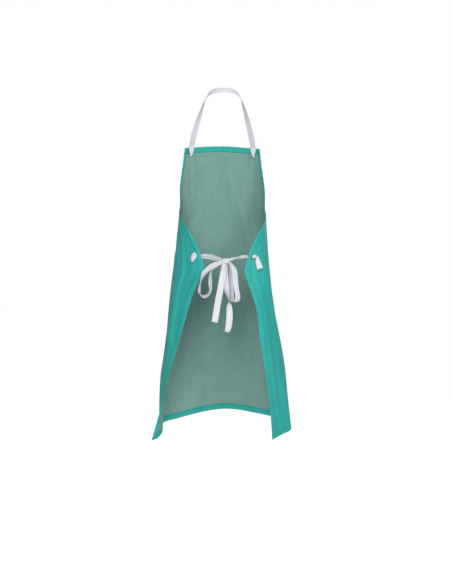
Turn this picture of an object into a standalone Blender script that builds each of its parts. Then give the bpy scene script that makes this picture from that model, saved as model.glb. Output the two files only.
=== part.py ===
import math
from collections import namedtuple

import bmesh
import bpy
import numpy as np
from mathutils import Matrix, Vector

# A bib apron as it hangs when worn. Metres, +Z up, +X is the wearer's left and -Y the front.
# The origin is the nape, where the neck tape rests.

# The panel's cut, laid flat, and its folded edges
HALF_WIDTH = 0.380
SIDE_LENGTH = 0.545
CUT_LENGTH = 0.860
BIB_HALF_WIDTH = 0.140
SIDE_HEM = 0.018
ARMHOLE_HEM = 0.010
CLOTH = 0.0016
HEM_CLOTH = 0.0010
SEAM_GAP = 0.0003

# Heights of the front centre line
HEM_HEIGHT = -0.994
BIB_HEIGHT = -0.148

# Woven tape and the holes that it is knotted through
TAPE_WIDTH = 0.019
TAPE = 0.0011
HOLE_RADIUS = 0.004
BUNCH_WIDTH = 0.0055
BUNCH = 0.0024
WAIST_HOLE_FROM_CENTRE = 0.345
WAIST_HOLE_UP = {1: 0.018, -1: 0.027}
BIB_HOLE_FROM_CENTRE = 0.116
BIB_HOLE_FROM_TOP = 0.027

LEFT = 1
RIGHT = -1
SIDE_NAME = {LEFT: "L", RIGHT: "R"}

# Horizontal sections of the worn cloth: a rounded front half, then a flap on each side
FrontRow = namedtuple("FrontRow", "height centre_x front_y side_y squareness")
FRONT = [
    FrontRow(-0.148, 0.004, -0.172, -0.080, 2.20),
    FrontRow(-0.270, 0.004, -0.200, -0.085, 2.20),
    FrontRow(-0.370, 0.004, -0.203, -0.085, 2.20),
    FrontRow(-0.450, 0.004, -0.197, -0.085, 2.20),
    FrontRow(-0.540, 0.002, -0.190, -0.085, 2.20),
    FrontRow(-0.620, 0.000, -0.195, -0.083, 2.20),
    FrontRow(-0.750, -0.004, -0.199, -0.078, 2.15),
    FrontRow(-0.900, -0.007, -0.202, -0.072, 2.10),
    FrontRow(-1.065, -0.010, -0.200, -0.068, 2.05),
]

# Each flap runs back from the side to its free edge. Turn is the direction that the cloth has
# at the edge: 90 lies across the back, 0 points straight back, negative flares outwards.
FlapRow = namedtuple("FlapRow", "height side_x edge_x edge_y turn pull")
FLAP = {
    LEFT: [
        FlapRow(-0.148, 0.150, 0.055, 0.020, 88, 0.060),
        FlapRow(-0.270, 0.148, 0.055, 0.024, 88, 0.060),
        FlapRow(-0.370, 0.139, 0.056, 0.024, 88, 0.060),
        FlapRow(-0.450, 0.148, 0.056, 0.024, 86, 0.060),
        FlapRow(-0.540, 0.157, 0.059, 0.027, 84, 0.060),
        FlapRow(-0.620, 0.166, 0.090, 0.031, 76, 0.050),
        FlapRow(-0.750, 0.181, 0.130, 0.030, 55, 0.040),
        FlapRow(-0.900, 0.194, 0.174, 0.028, 20, 0.035),
        FlapRow(-0.985, 0.195, 0.195, 0.026, -30, 0.030),
        FlapRow(-1.065, 0.193, 0.218, 0.020, -68, 0.032),
    ],
    RIGHT: [
        FlapRow(-0.148, 0.142, 0.060, 0.020, 88, 0.060),
        FlapRow(-0.270, 0.140, 0.060, 0.024, 88, 0.060),
        FlapRow(-0.370, 0.132, 0.062, 0.024, 88, 0.060),
        FlapRow(-0.450, 0.137, 0.062, 0.024, 86, 0.060),
        FlapRow(-0.550, 0.145, 0.064, 0.028, 84, 0.060),
        FlapRow(-0.620, 0.152, 0.086, 0.033, 78, 0.052),
        FlapRow(-0.670, 0.158, 0.101, 0.035, 70, 0.048),
        FlapRow(-0.750, 0.172, 0.110, 0.034, 62, 0.046),
        FlapRow(-0.900, 0.195, 0.132, 0.022, 50, 0.044),
        FlapRow(-1.065, 0.213, 0.147, 0.004, 42, 0.040),
    ],
}

# Armhole edge of the cut, from the waist corner up to the top of the bib
ArmholeRow = namedtuple("ArmholeRow", "up half_width")
ARMHOLE = [
    ArmholeRow(0.000, HALF_WIDTH),
    ArmholeRow(0.030, 0.364),
    ArmholeRow(0.055, 0.354),
    ArmholeRow(0.080, 0.336),
    ArmholeRow(0.100, 0.313),
    ArmholeRow(0.116, 0.282),
    ArmholeRow(0.132, 0.237),
    ArmholeRow(0.155, 0.198),
    ArmholeRow(0.195, 0.170),
    ArmholeRow(0.250, 0.150),
    ArmholeRow(0.315, BIB_HALF_WIDTH),
]

# How far a level line of the cut hangs lower at the free edge than at the front centre, and the
# power of the distance that it falls by
DropRow = namedtuple("DropRow", "up drop power")
DROP = {
    LEFT: [
        DropRow(0.0, 0.058, 0.95),
        DropRow(SIDE_LENGTH, 0.077, 1.60),
        DropRow(0.620, 0.078, 1.60),
        DropRow(0.690, 0.078, 1.60),
        DropRow(CUT_LENGTH, 0.050, 1.60),
    ],
    RIGHT: [
        DropRow(0.0, 0.0705, 1.25),
        DropRow(SIDE_LENGTH, 0.090, 1.25),
        DropRow(0.620, 0.083, 1.25),
        DropRow(0.690, 0.071, 1.25),
        DropRow(CUT_LENGTH, 0.050, 1.25),
    ],
}
DROP_START = 0.10
CORNER_DIP = {LEFT: 0.014, RIGHT: 0.002}
DIP_WIDTH = 0.055
DIP_HEIGHT = 0.200

# Main folds, in the cut's own measures. Depth is outwards, so a trough is negative.
Fold = namedtuple("Fold", "side top_across top_up foot_across foot_up depth width")
FOLDS = [
    Fold(LEFT, 0.307, 0.590, 0.317, 0.330, -0.0050, 0.014),
    Fold(LEFT, 0.280, 0.560, 0.286, 0.250, 0.0026, 0.016),
    Fold(RIGHT, 0.272, 0.600, 0.262, 0.380, -0.0034, 0.016),
    Fold(RIGHT, 0.350, 0.520, 0.358, 0.300, 0.0025, 0.014),
    Fold(LEFT, 0.120, 0.420, 0.150, -0.150, -0.0060, 0.034),
    Fold(LEFT, 0.205, 0.330, 0.225, -0.150, 0.0050, 0.030),
    Fold(RIGHT, 0.090, 0.450, 0.105, -0.150, -0.0055, 0.036),
    Fold(RIGHT, 0.190, 0.380, 0.215, -0.150, 0.0055, 0.032),
]
FOLD_FADE = 0.30

# Grid of the panel: columns on each half, and rows of the skirt between its hem and the corner
COLUMNS = 19
SKIRT_ROWS = 23
BIB_ROWS = (0.015, 0.030, 0.043, 0.056, 0.068, 0.080, 0.091, 0.101, 0.110, 0.118, 0.126, 0.135,
            0.146, 0.160, 0.177, 0.197, 0.220, 0.245, 0.271)

# A station on a tape: its middle, the direction of its width, and its size there
Station = namedtuple("Station", "place across width thickness", defaults=(TAPE_WIDTH, TAPE))
SPAN_STEPS = 4

KnotShape = namedtuple("KnotShape", "centre half_size taper axes")

# A cube's faces draw in under two levels of subdivision, so a knot's cage is larger by this
KNOT_CAGE = 1.19

# The neck tape's left half, from the nape over the shoulder to above the bib
NECK_HALF = [
    Station((0.000, 0.0006, 0.000), (0.00, -0.50, 0.86)),
    Station((0.023, -0.003, -0.001), (-0.05, -0.53, 0.84)),
    Station((0.042, -0.015, -0.007), (-0.12, -0.64, 0.76)),
    Station((0.056, -0.036, -0.021), (-0.25, -0.74, 0.62)),
    Station((0.068, -0.066, -0.046), (-0.52, -0.74, 0.38)),
    Station((0.081, -0.096, -0.080), (-0.78, -0.55, 0.15)),
    Station((0.094, -0.121, -0.118), (-0.88, -0.46, -0.05)),
]

# How much nearer to the middle each half of the neck tape ends, where the bib is off centre
NECK_DRIFT = {LEFT: 0.0, RIGHT: -0.010}

BOW_KNOT_CENTRE = (-0.0066, 0.0360, -0.5225)
BOW_KNOT_HALF_SIZE = (0.0140, 0.0075, 0.0085)

# Free run of each waist tie, from the armhole edge to the bow
TIE_RUN = {
    LEFT: [
        Station((0.0600, 0.0225, -0.5065), (0.02, 0.40, 0.90), 0.015),
        Station((0.0360, 0.0320, -0.5105), (0.12, 0.55, 0.82)),
        Station((0.0120, 0.0355, -0.5170), (0.12, 0.55, 0.82), 0.015),
        Station((-0.0020, 0.0365, -0.5210), (0.12, 0.55, 0.82), 0.007),
    ],
    RIGHT: [
        Station((-0.0660, 0.0215, -0.5095), (-0.05, 0.60, 0.78), 0.010),
        Station((-0.0460, 0.0300, -0.5130), (-0.10, 0.92, 0.38)),
        Station((-0.0235, 0.0355, -0.5185), (-0.10, 0.88, 0.46), 0.014),
        Station((-0.0110, 0.0360, -0.5215), (-0.10, 0.80, 0.60), 0.006),
    ],
}

# The bow's loops start and end inside its knot, and its tails start there
BOW_LOOP = {
    LEFT: [
        Station((-0.0010, 0.0370, -0.5235), (0.40, 0.60, 0.69), 0.006),
        Station((0.0120, 0.0440, -0.5300), (0.40, 0.60, 0.69), 0.013),
        Station((0.0270, 0.0500, -0.5360), (0.38, 0.58, 0.72)),
        Station((0.0430, 0.0535, -0.5450), (0.42, 0.60, 0.68)),
        Station((0.0590, 0.0560, -0.5610), (0.45, 0.76, 0.46)),
        Station((0.0682, 0.0570, -0.5860), (0.30, 0.94, 0.20)),
        Station((0.0715, 0.0560, -0.6080), (0.36, 0.90, 0.25)),
        Station((0.0695, 0.0540, -0.6215), (0.30, 0.83, 0.45)),
        Station((0.0600, 0.0515, -0.6290), (0.12, 0.86, 0.48)),
        Station((0.0480, 0.0480, -0.6265), (0.10, 0.88, 0.46)),
        Station((0.0395, 0.0450, -0.6120), (0.38, 0.90, 0.22)),
        Station((0.0400, 0.0400, -0.5900), (0.55, 0.83, 0.05)),
        Station((0.0392, 0.0355, -0.5680), (0.42, 0.90, 0.05)),
        Station((0.0325, 0.0325, -0.5470), (0.05, 0.97, 0.22)),
        Station((0.0150, 0.0305, -0.5345), (0.10, 0.86, 0.50), 0.011),
        Station((-0.0010, 0.0330, -0.5240), (0.30, 0.80, 0.50), 0.005),
    ],
    RIGHT: [
        Station((-0.0120, 0.0370, -0.5230), (0.55, 0.55, 0.62), 0.006),
        Station((-0.0230, 0.0450, -0.5305), (0.65, 0.60, 0.45), 0.013),
        Station((-0.0305, 0.0505, -0.5420), (0.75, 0.60, 0.25)),
        Station((-0.0352, 0.0545, -0.5600), (0.80, 0.60, 0.06)),
        Station((-0.0368, 0.0570, -0.5830), (0.80, 0.60, 0.00)),
        Station((-0.0395, 0.0590, -0.6080), (0.80, 0.60, 0.00)),
        Station((-0.0430, 0.0590, -0.6280), (0.80, 0.60, 0.00)),
        Station((-0.0405, 0.0545, -0.6420), (0.80, 0.60, 0.06)),
        Station((-0.0320, 0.0450, -0.6460), (0.76, 0.62, 0.10)),
        Station((-0.0255, 0.0355, -0.6380), (0.80, 0.60, 0.02)),
        Station((-0.0228, 0.0300, -0.6190), (0.80, 0.60, 0.00)),
        Station((-0.0228, 0.0285, -0.5890), (0.74, 0.67, 0.00)),
        Station((-0.0230, 0.0285, -0.5600), (0.58, 0.81, 0.00)),
        Station((-0.0190, 0.0300, -0.5360), (0.58, 0.80, 0.10), 0.011),
        Station((-0.0125, 0.0325, -0.5240), (0.80, 0.55, 0.10), 0.005),
    ],
}

BOW_TAIL = {
    LEFT: [
        Station((-0.0030, 0.0385, -0.5240), (0.98, 0.00, 0.10), 0.006),
        Station((-0.0010, 0.0450, -0.5360), (0.98, 0.00, 0.10), 0.013),
        Station((0.0015, 0.0480, -0.5650), (0.99, 0.02, 0.12)),
        Station((0.0085, 0.0500, -0.6040), (0.98, 0.03, 0.17)),
        Station((0.0165, 0.0505, -0.6460), (0.97, 0.06, 0.20)),
        Station((0.0262, 0.0500, -0.7065), (0.98, 0.10, 0.16)),
    ],
    RIGHT: [
        Station((-0.0070, 0.0350, -0.5250), (0.95, -0.10, 0.00), 0.006),
        Station((-0.0065, 0.0390, -0.5380), (0.95, -0.10, 0.00), 0.013),
        Station((-0.0050, 0.0415, -0.5650), (0.97, -0.15, -0.06)),
        Station((-0.0085, 0.0445, -0.6010), (0.90, -0.40, -0.12)),
        Station((-0.0155, 0.0485, -0.6385), (0.12, -0.99, -0.10)),
        Station((-0.0175, 0.0490, -0.6600), (-0.80, -0.60, 0.00)),
        Station((-0.0183, 0.0490, -0.6850), (-0.98, -0.20, 0.00)),
        Station((-0.0160, 0.0485, -0.7150), (-0.98, -0.10, 0.08)),
        Station((-0.0105, 0.0475, -0.7360), (-0.95, -0.10, 0.28), 0.014),
    ],
}

# Knots that stop the tapes on the outside of the cloth: half sizes, and the taper of the foot
WAIST_KNOT = {LEFT: (0.0095, 0.0060, 0.0160), RIGHT: (0.0080, 0.0050, 0.0060)}
KNOT_TAPER = {LEFT: 0.60, RIGHT: 0.90}
KNOT_UP = {LEFT: -0.0030, RIGHT: 0.0000}
KNOT_SINK = {LEFT: 0.0, RIGHT: 0.0004}
BIB_KNOT = (0.0080, 0.0055, 0.0095)

# Tape that follows the cloth near a hole, as steps from the hole. Off is outwards. Lean is the
# angle of the tape's width in the cloth: 0 points to the free edge and 90 points up.
ClothStep = namedtuple("ClothStep", "across up off lean width thickness")
TIE_THROUGH_HOLE = [
    ClothStep(0.0000, 0.0000, 0.0045, 90, BUNCH_WIDTH, BUNCH),
    ClothStep(0.0000, 0.0000, -0.0008, 90, BUNCH_WIDTH, BUNCH),
    ClothStep(0.0010, 0.0005, -0.0032, 90, BUNCH_WIDTH, BUNCH),
    ClothStep(0.0080, 0.0020, -0.0052, 90, 0.0075, 0.0018),
    ClothStep(0.0160, 0.0040, -0.0060, 90, 0.0090, 0.0014),
]
NECK_THROUGH_HOLE = [
    ClothStep(0.0000, 0.0340, -0.0065, 180, TAPE_WIDTH, TAPE),
    ClothStep(0.0000, 0.0220, -0.0055, 180, 0.0180, TAPE),
    ClothStep(0.0000, 0.0090, -0.0050, 180, 0.0110, TAPE),
    ClothStep(0.0000, 0.0010, -0.0032, 180, BUNCH_WIDTH, BUNCH),
    ClothStep(0.0000, 0.0000, -0.0008, 180, BUNCH_WIDTH, BUNCH),
    ClothStep(0.0000, 0.0000, 0.0045, 180, BUNCH_WIDTH, BUNCH),
]
WAIST_TAIL = [
    ClothStep(-0.0020, 0.0000, 0.0050, 80, 0.0060, TAPE),
    ClothStep(-0.0090, -0.0030, 0.0052, 60, 0.0085, TAPE),
    ClothStep(-0.0115, -0.0110, 0.0052, 20, 0.0125, TAPE),
    ClothStep(-0.0140, -0.0240, 0.0054, 8, 0.0175, TAPE),
    ClothStep(-0.0185, -0.0400, 0.0056, 16, 0.0185, TAPE),
]

CLOTH_GREEN = (0.034, 0.362, 0.319)
HEM_GREEN = (0.026, 0.300, 0.262)
TAPE_WHITE = (0.780, 0.780, 0.820)


def table_at(rows, x):
    """One smooth curve through each column of a table whose first column rises or falls."""
    table = np.array(rows, dtype=float)
    knots = table[:, 0]
    if knots[-1] < knots[0]:
        table, knots = table[::-1], knots[::-1]
    x = min(max(x, knots[0]), knots[-1])
    slopes = np.empty_like(table)
    steps = np.diff(knots)[:, None]
    chords = np.diff(table, axis=0) / steps
    slopes[0], slopes[-1] = chords[0], chords[-1]
    slopes[1:-1] = (chords[:-1] * steps[1:] + chords[1:] * steps[:-1]) / (steps[1:] + steps[:-1])
    i = min(int(np.searchsorted(knots, x, side="right")) - 1, len(knots) - 2)
    step = knots[i + 1] - knots[i]
    t = (x - knots[i]) / step
    rise, fall = t * t * (3 - 2 * t), 1 - t * t * (3 - 2 * t)
    bend = t * (1 - t) ** 2 * slopes[i] - t * t * (1 - t) * slopes[i + 1]
    return fall * table[i] + rise * table[i + 1] + step * bend


def smooth_step(t):
    t = min(max(t, 0.0), 1.0)
    return t * t * (3 - 2 * t)


def half_width(up):
    """Distance from the front centre to the edge of the cut, at a height above its hem."""
    if up <= SIDE_LENGTH:
        return HALF_WIDTH
    return table_at(ARMHOLE, up - SIDE_LENGTH)[1]


def hem_line(up):
    """Distance from the front centre to the inner fold line of the side or armhole hem."""
    if up <= SIDE_LENGTH:
        return HALF_WIDTH - SIDE_HEM
    nudge = 0.001
    slope = (half_width(up + nudge) - half_width(up - nudge)) / (2 * nudge)
    return half_width(up) - ARMHOLE_HEM * math.hypot(1.0, slope)


def drop_share(reach, power):
    """Share of the drop at a reach from 0 to 1. It starts level, with no crease down the front."""
    start = DROP_START ** power
    full = (1 + DROP_START ** 2) ** (power / 2)
    return ((reach ** 2 + DROP_START ** 2) ** (power / 2) - start) / (full - start)


def level(across, up):
    """World height of a point of the cut."""
    side = LEFT if across >= 0 else RIGHT
    reach = min(abs(across) / HALF_WIDTH, 1.0)
    row = DropRow(*table_at(DROP[side], up))
    height = HEM_HEIGHT + (BIB_HEIGHT - HEM_HEIGHT) * up / CUT_LENGTH
    height -= row.drop * drop_share(reach, row.power)
    dip = smooth_step((abs(across) - HALF_WIDTH + DIP_WIDTH) / DIP_WIDTH) * smooth_step(1 - up / DIP_HEIGHT)
    return height - CORNER_DIP[side] * dip


def half_section(height, side):
    """Points of one half of a horizontal section, front centre to free edge, and their arc lengths."""
    front = FrontRow(*table_at(FRONT, height))
    flap = FlapRow(*table_at(FLAP[side], height))
    centre = front.centre_x * side
    angle = np.linspace(0, math.pi / 2, 70)
    power = 2 / front.squareness
    round_x = centre + (flap.side_x - centre) * np.sin(angle) ** power
    round_y = front.side_y + (front.front_y - front.side_y) * np.cos(angle) ** power
    turn = math.radians(flap.turn)
    start = np.array([flap.side_x, front.side_y])
    end = np.array([flap.edge_x, flap.edge_y])
    start_handle = start + np.array([0.0, 0.5 * (flap.edge_y - front.side_y)])
    end_handle = end - flap.pull * np.array([-math.sin(turn), math.cos(turn)])
    t = np.linspace(0, 1, 60)[1:, None]
    flap_points = ((1 - t) ** 3 * start + 3 * t * (1 - t) ** 2 * start_handle
                   + 3 * t * t * (1 - t) * end_handle + t ** 3 * end)
    points = np.vstack([np.column_stack([round_x, round_y]), flap_points])
    lengths = np.concatenate([[0.0], np.cumsum(np.linalg.norm(np.diff(points, axis=0), axis=1))])
    points[:, 0] *= side
    return points, lengths


def hung_point(across, up):
    """Where a point of the cut hangs, before its folds."""
    side = LEFT if across >= 0 else RIGHT
    height = level(across, up)
    points, lengths = half_section(height, side)
    arc = min(abs(across) / HALF_WIDTH, 1.0) * lengths[-1]
    return (np.interp(arc, lengths, points[:, 0]), np.interp(arc, lengths, points[:, 1]), height)


def fold_depth(across, up):
    depth = 0.0
    for fold in FOLDS:
        if fold.side * across < 0:
            continue
        t = (up - fold.foot_up) / (fold.top_up - fold.foot_up)
        line = fold.foot_across + (fold.top_across - fold.foot_across) * t
        fade = smooth_step(t / FOLD_FADE) * smooth_step((1 - t) / FOLD_FADE)
        depth += fold.depth * fade * math.exp(-((abs(across) - line) / fold.width) ** 2)
    return depth


def grid_normals(points):
    """Outward unit normals of a grid whose rows run up and whose columns run towards the left."""
    along = np.gradient(points, axis=1)
    upward = np.gradient(points, axis=0)
    normals = np.cross(along, upward)
    return normals / np.linalg.norm(normals, axis=2, keepdims=True)


def hang(cut):
    """World points and outward normals for a grid of (across, up) positions of the cut."""
    bare = np.array([[hung_point(across, up) for across, up in row] for row in cut])
    depths = np.array([[fold_depth(across, up) for across, up in row] for row in cut])
    points = bare + grid_normals(bare) * depths[:, :, None]
    return points, grid_normals(points)


def surface(across, up):
    """World point, outward normal and leftward direction at one place on the panel."""
    step = 0.004
    cut = [[(across + i * step, up + j * step) for i in (-1, 0, 1)] for j in (-1, 0, 1)]
    points, normals = hang(cut)
    leftward = Vector(points[1][2] - points[1][0]).normalized()
    return Vector(points[1][1]), Vector(normals[1][1]), leftward


def panel_rows():
    skirt = np.linspace(SIDE_HEM, SIDE_LENGTH, SKIRT_ROWS)
    bib = [SIDE_LENGTH + up for up in BIB_ROWS]
    return [0.0, *skirt, *bib, CUT_LENGTH - SIDE_HEM, CUT_LENGTH]


def panel_columns(up):
    inner = np.linspace(0, hem_line(up), COLUMNS)[1:]
    half = [*inner, half_width(up)]
    return [-x for x in reversed(half)] + [0.0] + half


def material(name, color, roughness):
    found = bpy.data.materials.get(name)
    if found:
        return found
    made = bpy.data.materials.new(name)
    made.use_nodes = True
    shader = made.node_tree.nodes["Principled BSDF"]
    shader.inputs["Base Color"].default_value = (*color, 1.0)
    shader.inputs["Roughness"].default_value = roughness
    shader.inputs["Metallic"].default_value = 0.0
    return made


def collection(name):
    made = bpy.data.collections.new(name)
    bpy.context.scene.collection.children.link(made)
    return made


def new_object(name, mesh_data, where, finish=None):
    made = bpy.data.objects.new(name, mesh_data)
    where.objects.link(made)
    if finish:
        mesh_data.materials.append(finish)
    return made


def sheet_object(name, points, thickness, where, finish):
    """A wall of cloth: the grid of points is its middle surface."""
    rows, columns = points.shape[:2]
    bm = bmesh.new()
    verts = [[bm.verts.new(point) for point in row] for row in points]
    for r in range(rows - 1):
        for c in range(columns - 1):
            bm.faces.new((verts[r][c], verts[r][c + 1], verts[r + 1][c + 1], verts[r + 1][c]))
    bmesh.ops.triangulate(bm, faces=bm.faces[:], quad_method="FIXED")
    mesh = bpy.data.meshes.new(name)
    bm.to_mesh(mesh)
    bm.free()
    mesh.shade_smooth()
    made = new_object(name, mesh, where, finish)
    wall = made.modifiers.new("wall", "SOLIDIFY")
    wall.thickness = thickness
    wall.offset = 0.0
    return made


def trimmed(points, axis):
    """Pull the two ends of a strip back by the seam gap."""
    strip = np.swapaxes(points, 0, axis).copy()
    for end, neighbour in ((0, 1), (-1, -2)):
        step = strip[neighbour] - strip[end]
        strip[end] += step * (SEAM_GAP / np.linalg.norm(step, axis=-1, keepdims=True))
    return np.swapaxes(strip, 0, axis)


def loft(name, stations, where, finish):
    """A closed strip of tape through its stations, smooth along its run."""
    table = np.array([[i, *s.place, *s.across, s.width, s.thickness] for i, s in enumerate(stations)])
    count = (len(stations) - 1) * SPAN_STEPS + 1
    line = np.array([table_at(table, t) for t in np.linspace(0, len(stations) - 1, count)])
    middles = line[:, 1:4]
    tangents = np.gradient(middles, axis=0)
    tangents /= np.linalg.norm(tangents, axis=1, keepdims=True)
    across = line[:, 4:7] - tangents * np.sum(line[:, 4:7] * tangents, axis=1, keepdims=True)
    across /= np.linalg.norm(across, axis=1, keepdims=True)
    facing = np.cross(tangents, across)
    half_w, half_t = line[:, 7:8] / 2, line[:, 8:9] / 2
    corners = ((-1, -1), (1, -1), (1, 1), (-1, 1))
    rings = [middles + a * half_w * across + f * half_t * facing for a, f in corners]
    bm = bmesh.new()
    verts = [[bm.verts.new(rings[k][i]) for k in range(4)] for i in range(count)]
    bm.faces.new(verts[0])
    bm.faces.new(reversed(verts[-1]))
    for i in range(count - 1):
        for k in range(4):
            n = (k + 1) % 4
            a, b, c, d = verts[i][k], verts[i + 1][k], verts[i + 1][n], verts[i][n]
            # Both wide faces take the same diagonal, so a twisted tape stays evenly thick
            halves = ((a, b, c), (a, c, d)) if k < 2 else ((a, b, d), (b, c, d))
            for half in halves:
                bm.faces.new(half)
    bmesh.ops.recalc_face_normals(bm, faces=bm.faces[:])
    mesh = bpy.data.meshes.new(name)
    bm.to_mesh(mesh)
    bm.free()
    return new_object(name, mesh, where, finish)


def knot_lump(name, shape, margin, where, finish=None):
    """A soft lump of knotted tape, narrower at its foot where it has a taper."""
    mesh = bpy.data.meshes.new(name)
    bm = bmesh.new()
    bmesh.ops.create_cube(bm, size=2 * KNOT_CAGE)
    for vert in bm.verts:
        if vert.co.z < 0:
            vert.co.x *= shape.taper
        vert.co = Vector(c * (h + margin) for c, h in zip(vert.co, shape.half_size))
    bm.to_mesh(mesh)
    bm.free()
    mesh.shade_smooth()
    made = new_object(name, mesh, where, finish)
    made.matrix_world = Matrix.Translation(shape.centre) @ shape.axes.to_4x4()
    smooth = made.modifiers.new("smooth", "SUBSURF")
    smooth.levels = smooth.render_levels = 2
    return made


def build_knot(name, shape, collections, finish):
    """A knot, and the slightly larger cutter that ends its tapes just short of it."""
    parts, cutters = collections
    knot_lump(name, shape, 0.0, parts, finish)
    return as_cutter(knot_lump("cut_" + name, shape, SEAM_GAP, cutters))


def as_cutter(made):
    made.hide_render = True
    made.display_type = "WIRE"
    return made


def cut_away(made, name, cutter):
    cut = made.modifiers.new(name, "BOOLEAN")
    cut.operation = "DIFFERENCE"
    cut.solver = "EXACT"
    cut.object = cutter


def cloth_axes(normal, leftward):
    """Rotation whose Y points out of the cloth and whose Z points up along it."""
    return Matrix((-leftward, normal, normal.cross(leftward))).transposed()


def hole_cutter(name, place, normal, where):
    mesh = bpy.data.meshes.new(name)
    bm = bmesh.new()
    bmesh.ops.create_cone(bm, cap_ends=True, segments=16, radius1=HOLE_RADIUS,
                          radius2=HOLE_RADIUS, depth=8 * CLOTH)
    bm.to_mesh(mesh)
    bm.free()
    cutter = new_object(name, mesh, where)
    turn = normal.to_track_quat("Z", "Y").to_matrix().to_4x4()
    cutter.matrix_world = Matrix.Translation(place) @ turn
    return as_cutter(cutter)


def hole_places():
    places = {}
    for side in (LEFT, RIGHT):
        letter = SIDE_NAME[side]
        waist_up = SIDE_LENGTH + WAIST_HOLE_UP[side]
        places["waist_" + letter] = (side * WAIST_HOLE_FROM_CENTRE, waist_up)
        places["bib_" + letter] = (side * BIB_HOLE_FROM_CENTRE, CUT_LENGTH - BIB_HOLE_FROM_TOP)
    return places


def build_panel(points, collections, finish):
    parts, cutters = collections
    panel = sheet_object("apron_panel", points, CLOTH, parts, finish)
    for place_name, (across, up) in hole_places().items():
        place, normal, _ = surface(across, up)
        cut_away(panel, "hole_" + place_name, hole_cutter("cut_" + place_name, place, normal, cutters))


def build_hems(points, normals, where, finish):
    """Turned-in hems, each from the panel's own edge points, moved to the inside."""
    inside = points - normals * (CLOTH / 2 + SEAM_GAP + HEM_CLOTH / 2)
    corner = SKIRT_ROWS
    top = len(points) - 2
    strips = {
        "hem_bottom": (inside[:2], None),
        "hem_bib_top": (inside[top:], None),
        "hem_side_R": (inside[1:corner + 1, :2], 0),
        "hem_side_L": (inside[1:corner + 1, -2:], 0),
        "hem_armhole_R": (inside[corner:top + 1, :2], 0),
        "hem_armhole_L": (inside[corner:top + 1, -2:], 0),
    }
    for name, (strip, cut_axis) in strips.items():
        if cut_axis is not None:
            strip = trimmed(strip, cut_axis)
        sheet_object(name, strip, HEM_CLOTH, where, finish)


def cloth_station(hole, side, step):
    """A tape station at a step along the cloth from a hole."""
    place, normal, leftward = surface(hole[0] + side * step.across, hole[1] + step.up)
    lean = math.radians(step.lean)
    width_line = leftward * (side * math.cos(lean)) + normal.cross(leftward) * math.sin(lean)
    return Station(tuple(place + normal * step.off), tuple(width_line), step.width, step.thickness)


def on_side(station, side, drift):
    """A station of the left half, moved to either side and in by its share of the drift."""
    x, y, z = station.place
    a, b, c = station.across
    share = z / BIB_HEIGHT
    return Station((side * (x + drift * share), y, z), (side * a, b, c), station.width, station.thickness)


def stop_knot_shape(hole, half_size, taper, up=0.0, sink=0.0):
    """A knot drawn tight against the outside of the cloth over its hole."""
    place, normal, leftward = surface(hole[0], hole[1] + up)
    seat = CLOTH / 2 + SEAM_GAP + half_size[1] - sink
    return KnotShape(place + normal * seat, half_size, taper, cloth_axes(normal, leftward))


def build_knots(collections, finish):
    """All the knots. Gives back their cutters by name."""
    holes = hole_places()
    shapes = {"bow_knot": KnotShape(BOW_KNOT_CENTRE, BOW_KNOT_HALF_SIZE, 0.85, Matrix.Identity(3))}
    for side, letter in SIDE_NAME.items():
        shapes["waist_knot_" + letter] = stop_knot_shape(
            holes["waist_" + letter], WAIST_KNOT[side], KNOT_TAPER[side], KNOT_UP[side], KNOT_SINK[side])
        shapes["neck_knot_" + letter] = stop_knot_shape(holes["bib_" + letter], BIB_KNOT, 0.8)
    return {name: build_knot(name, shape, collections, finish) for name, shape in shapes.items()}


def build_neck_tape(knots, where, finish):
    holes = hole_places()
    halves = {}
    for side, letter in SIDE_NAME.items():
        shoulder = [on_side(station, side, NECK_DRIFT[side]) for station in NECK_HALF[1:]]
        through = [cloth_station(holes["bib_" + letter], side, step) for step in NECK_THROUGH_HOLE]
        halves[side] = shoulder + through
    tape = loft("neck_tape", [*reversed(halves[RIGHT]), NECK_HALF[0], *halves[LEFT]], where, finish)
    for letter in SIDE_NAME.values():
        cut_away(tape, "end_" + letter, knots["neck_knot_" + letter])


def build_waist_tie(side, knots, where, finish):
    letter = SIDE_NAME[side]
    through = [cloth_station(hole_places()["waist_" + letter], side, step) for step in TIE_THROUGH_HOLE]
    tie = loft("waist_tie_" + letter, through + TIE_RUN[side], where, finish)
    cut_away(tie, "knot_end", knots["waist_knot_" + letter])
    cut_away(tie, "bow_end", knots["bow_knot"])


def build_bow(knots, where, finish):
    for side, letter in SIDE_NAME.items():
        loop = loft("bow_loop_" + letter, BOW_LOOP[side], where, finish)
        tail = loft("bow_tail_" + letter, BOW_TAIL[side], where, finish)
        for piece in (loop, tail):
            cut_away(piece, "bow_end", knots["bow_knot"])


def build_waist_tail(knots, where, finish):
    hole = hole_places()["waist_R"]
    tail = loft("waist_tail_R", [cloth_station(hole, RIGHT, step) for step in WAIST_TAIL], where, finish)
    cut_away(tail, "knot_end", knots["waist_knot_R"])


def main():
    for old in list(bpy.data.objects):
        bpy.data.objects.remove(old)
    parts = collection("bib_apron")
    collections = (parts, collection("cutters"))
    green = material("coated cloth", CLOTH_GREEN, 0.45)
    hem_green = material("turned hem", HEM_GREEN, 0.55)
    white = material("woven tape", TAPE_WHITE, 0.80)

    cut = [[(across, up) for across in panel_columns(up)] for up in panel_rows()]
    points, normals = hang(cut)
    build_panel(points, collections, green)
    build_hems(points, normals, parts, hem_green)
    knots = build_knots(collections, white)
    build_neck_tape(knots, parts, white)
    for side in SIDE_NAME:
        build_waist_tie(side, knots, parts, white)
    build_bow(knots, parts, white)
    build_waist_tail(knots, parts, white)


main()
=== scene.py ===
import math

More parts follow.
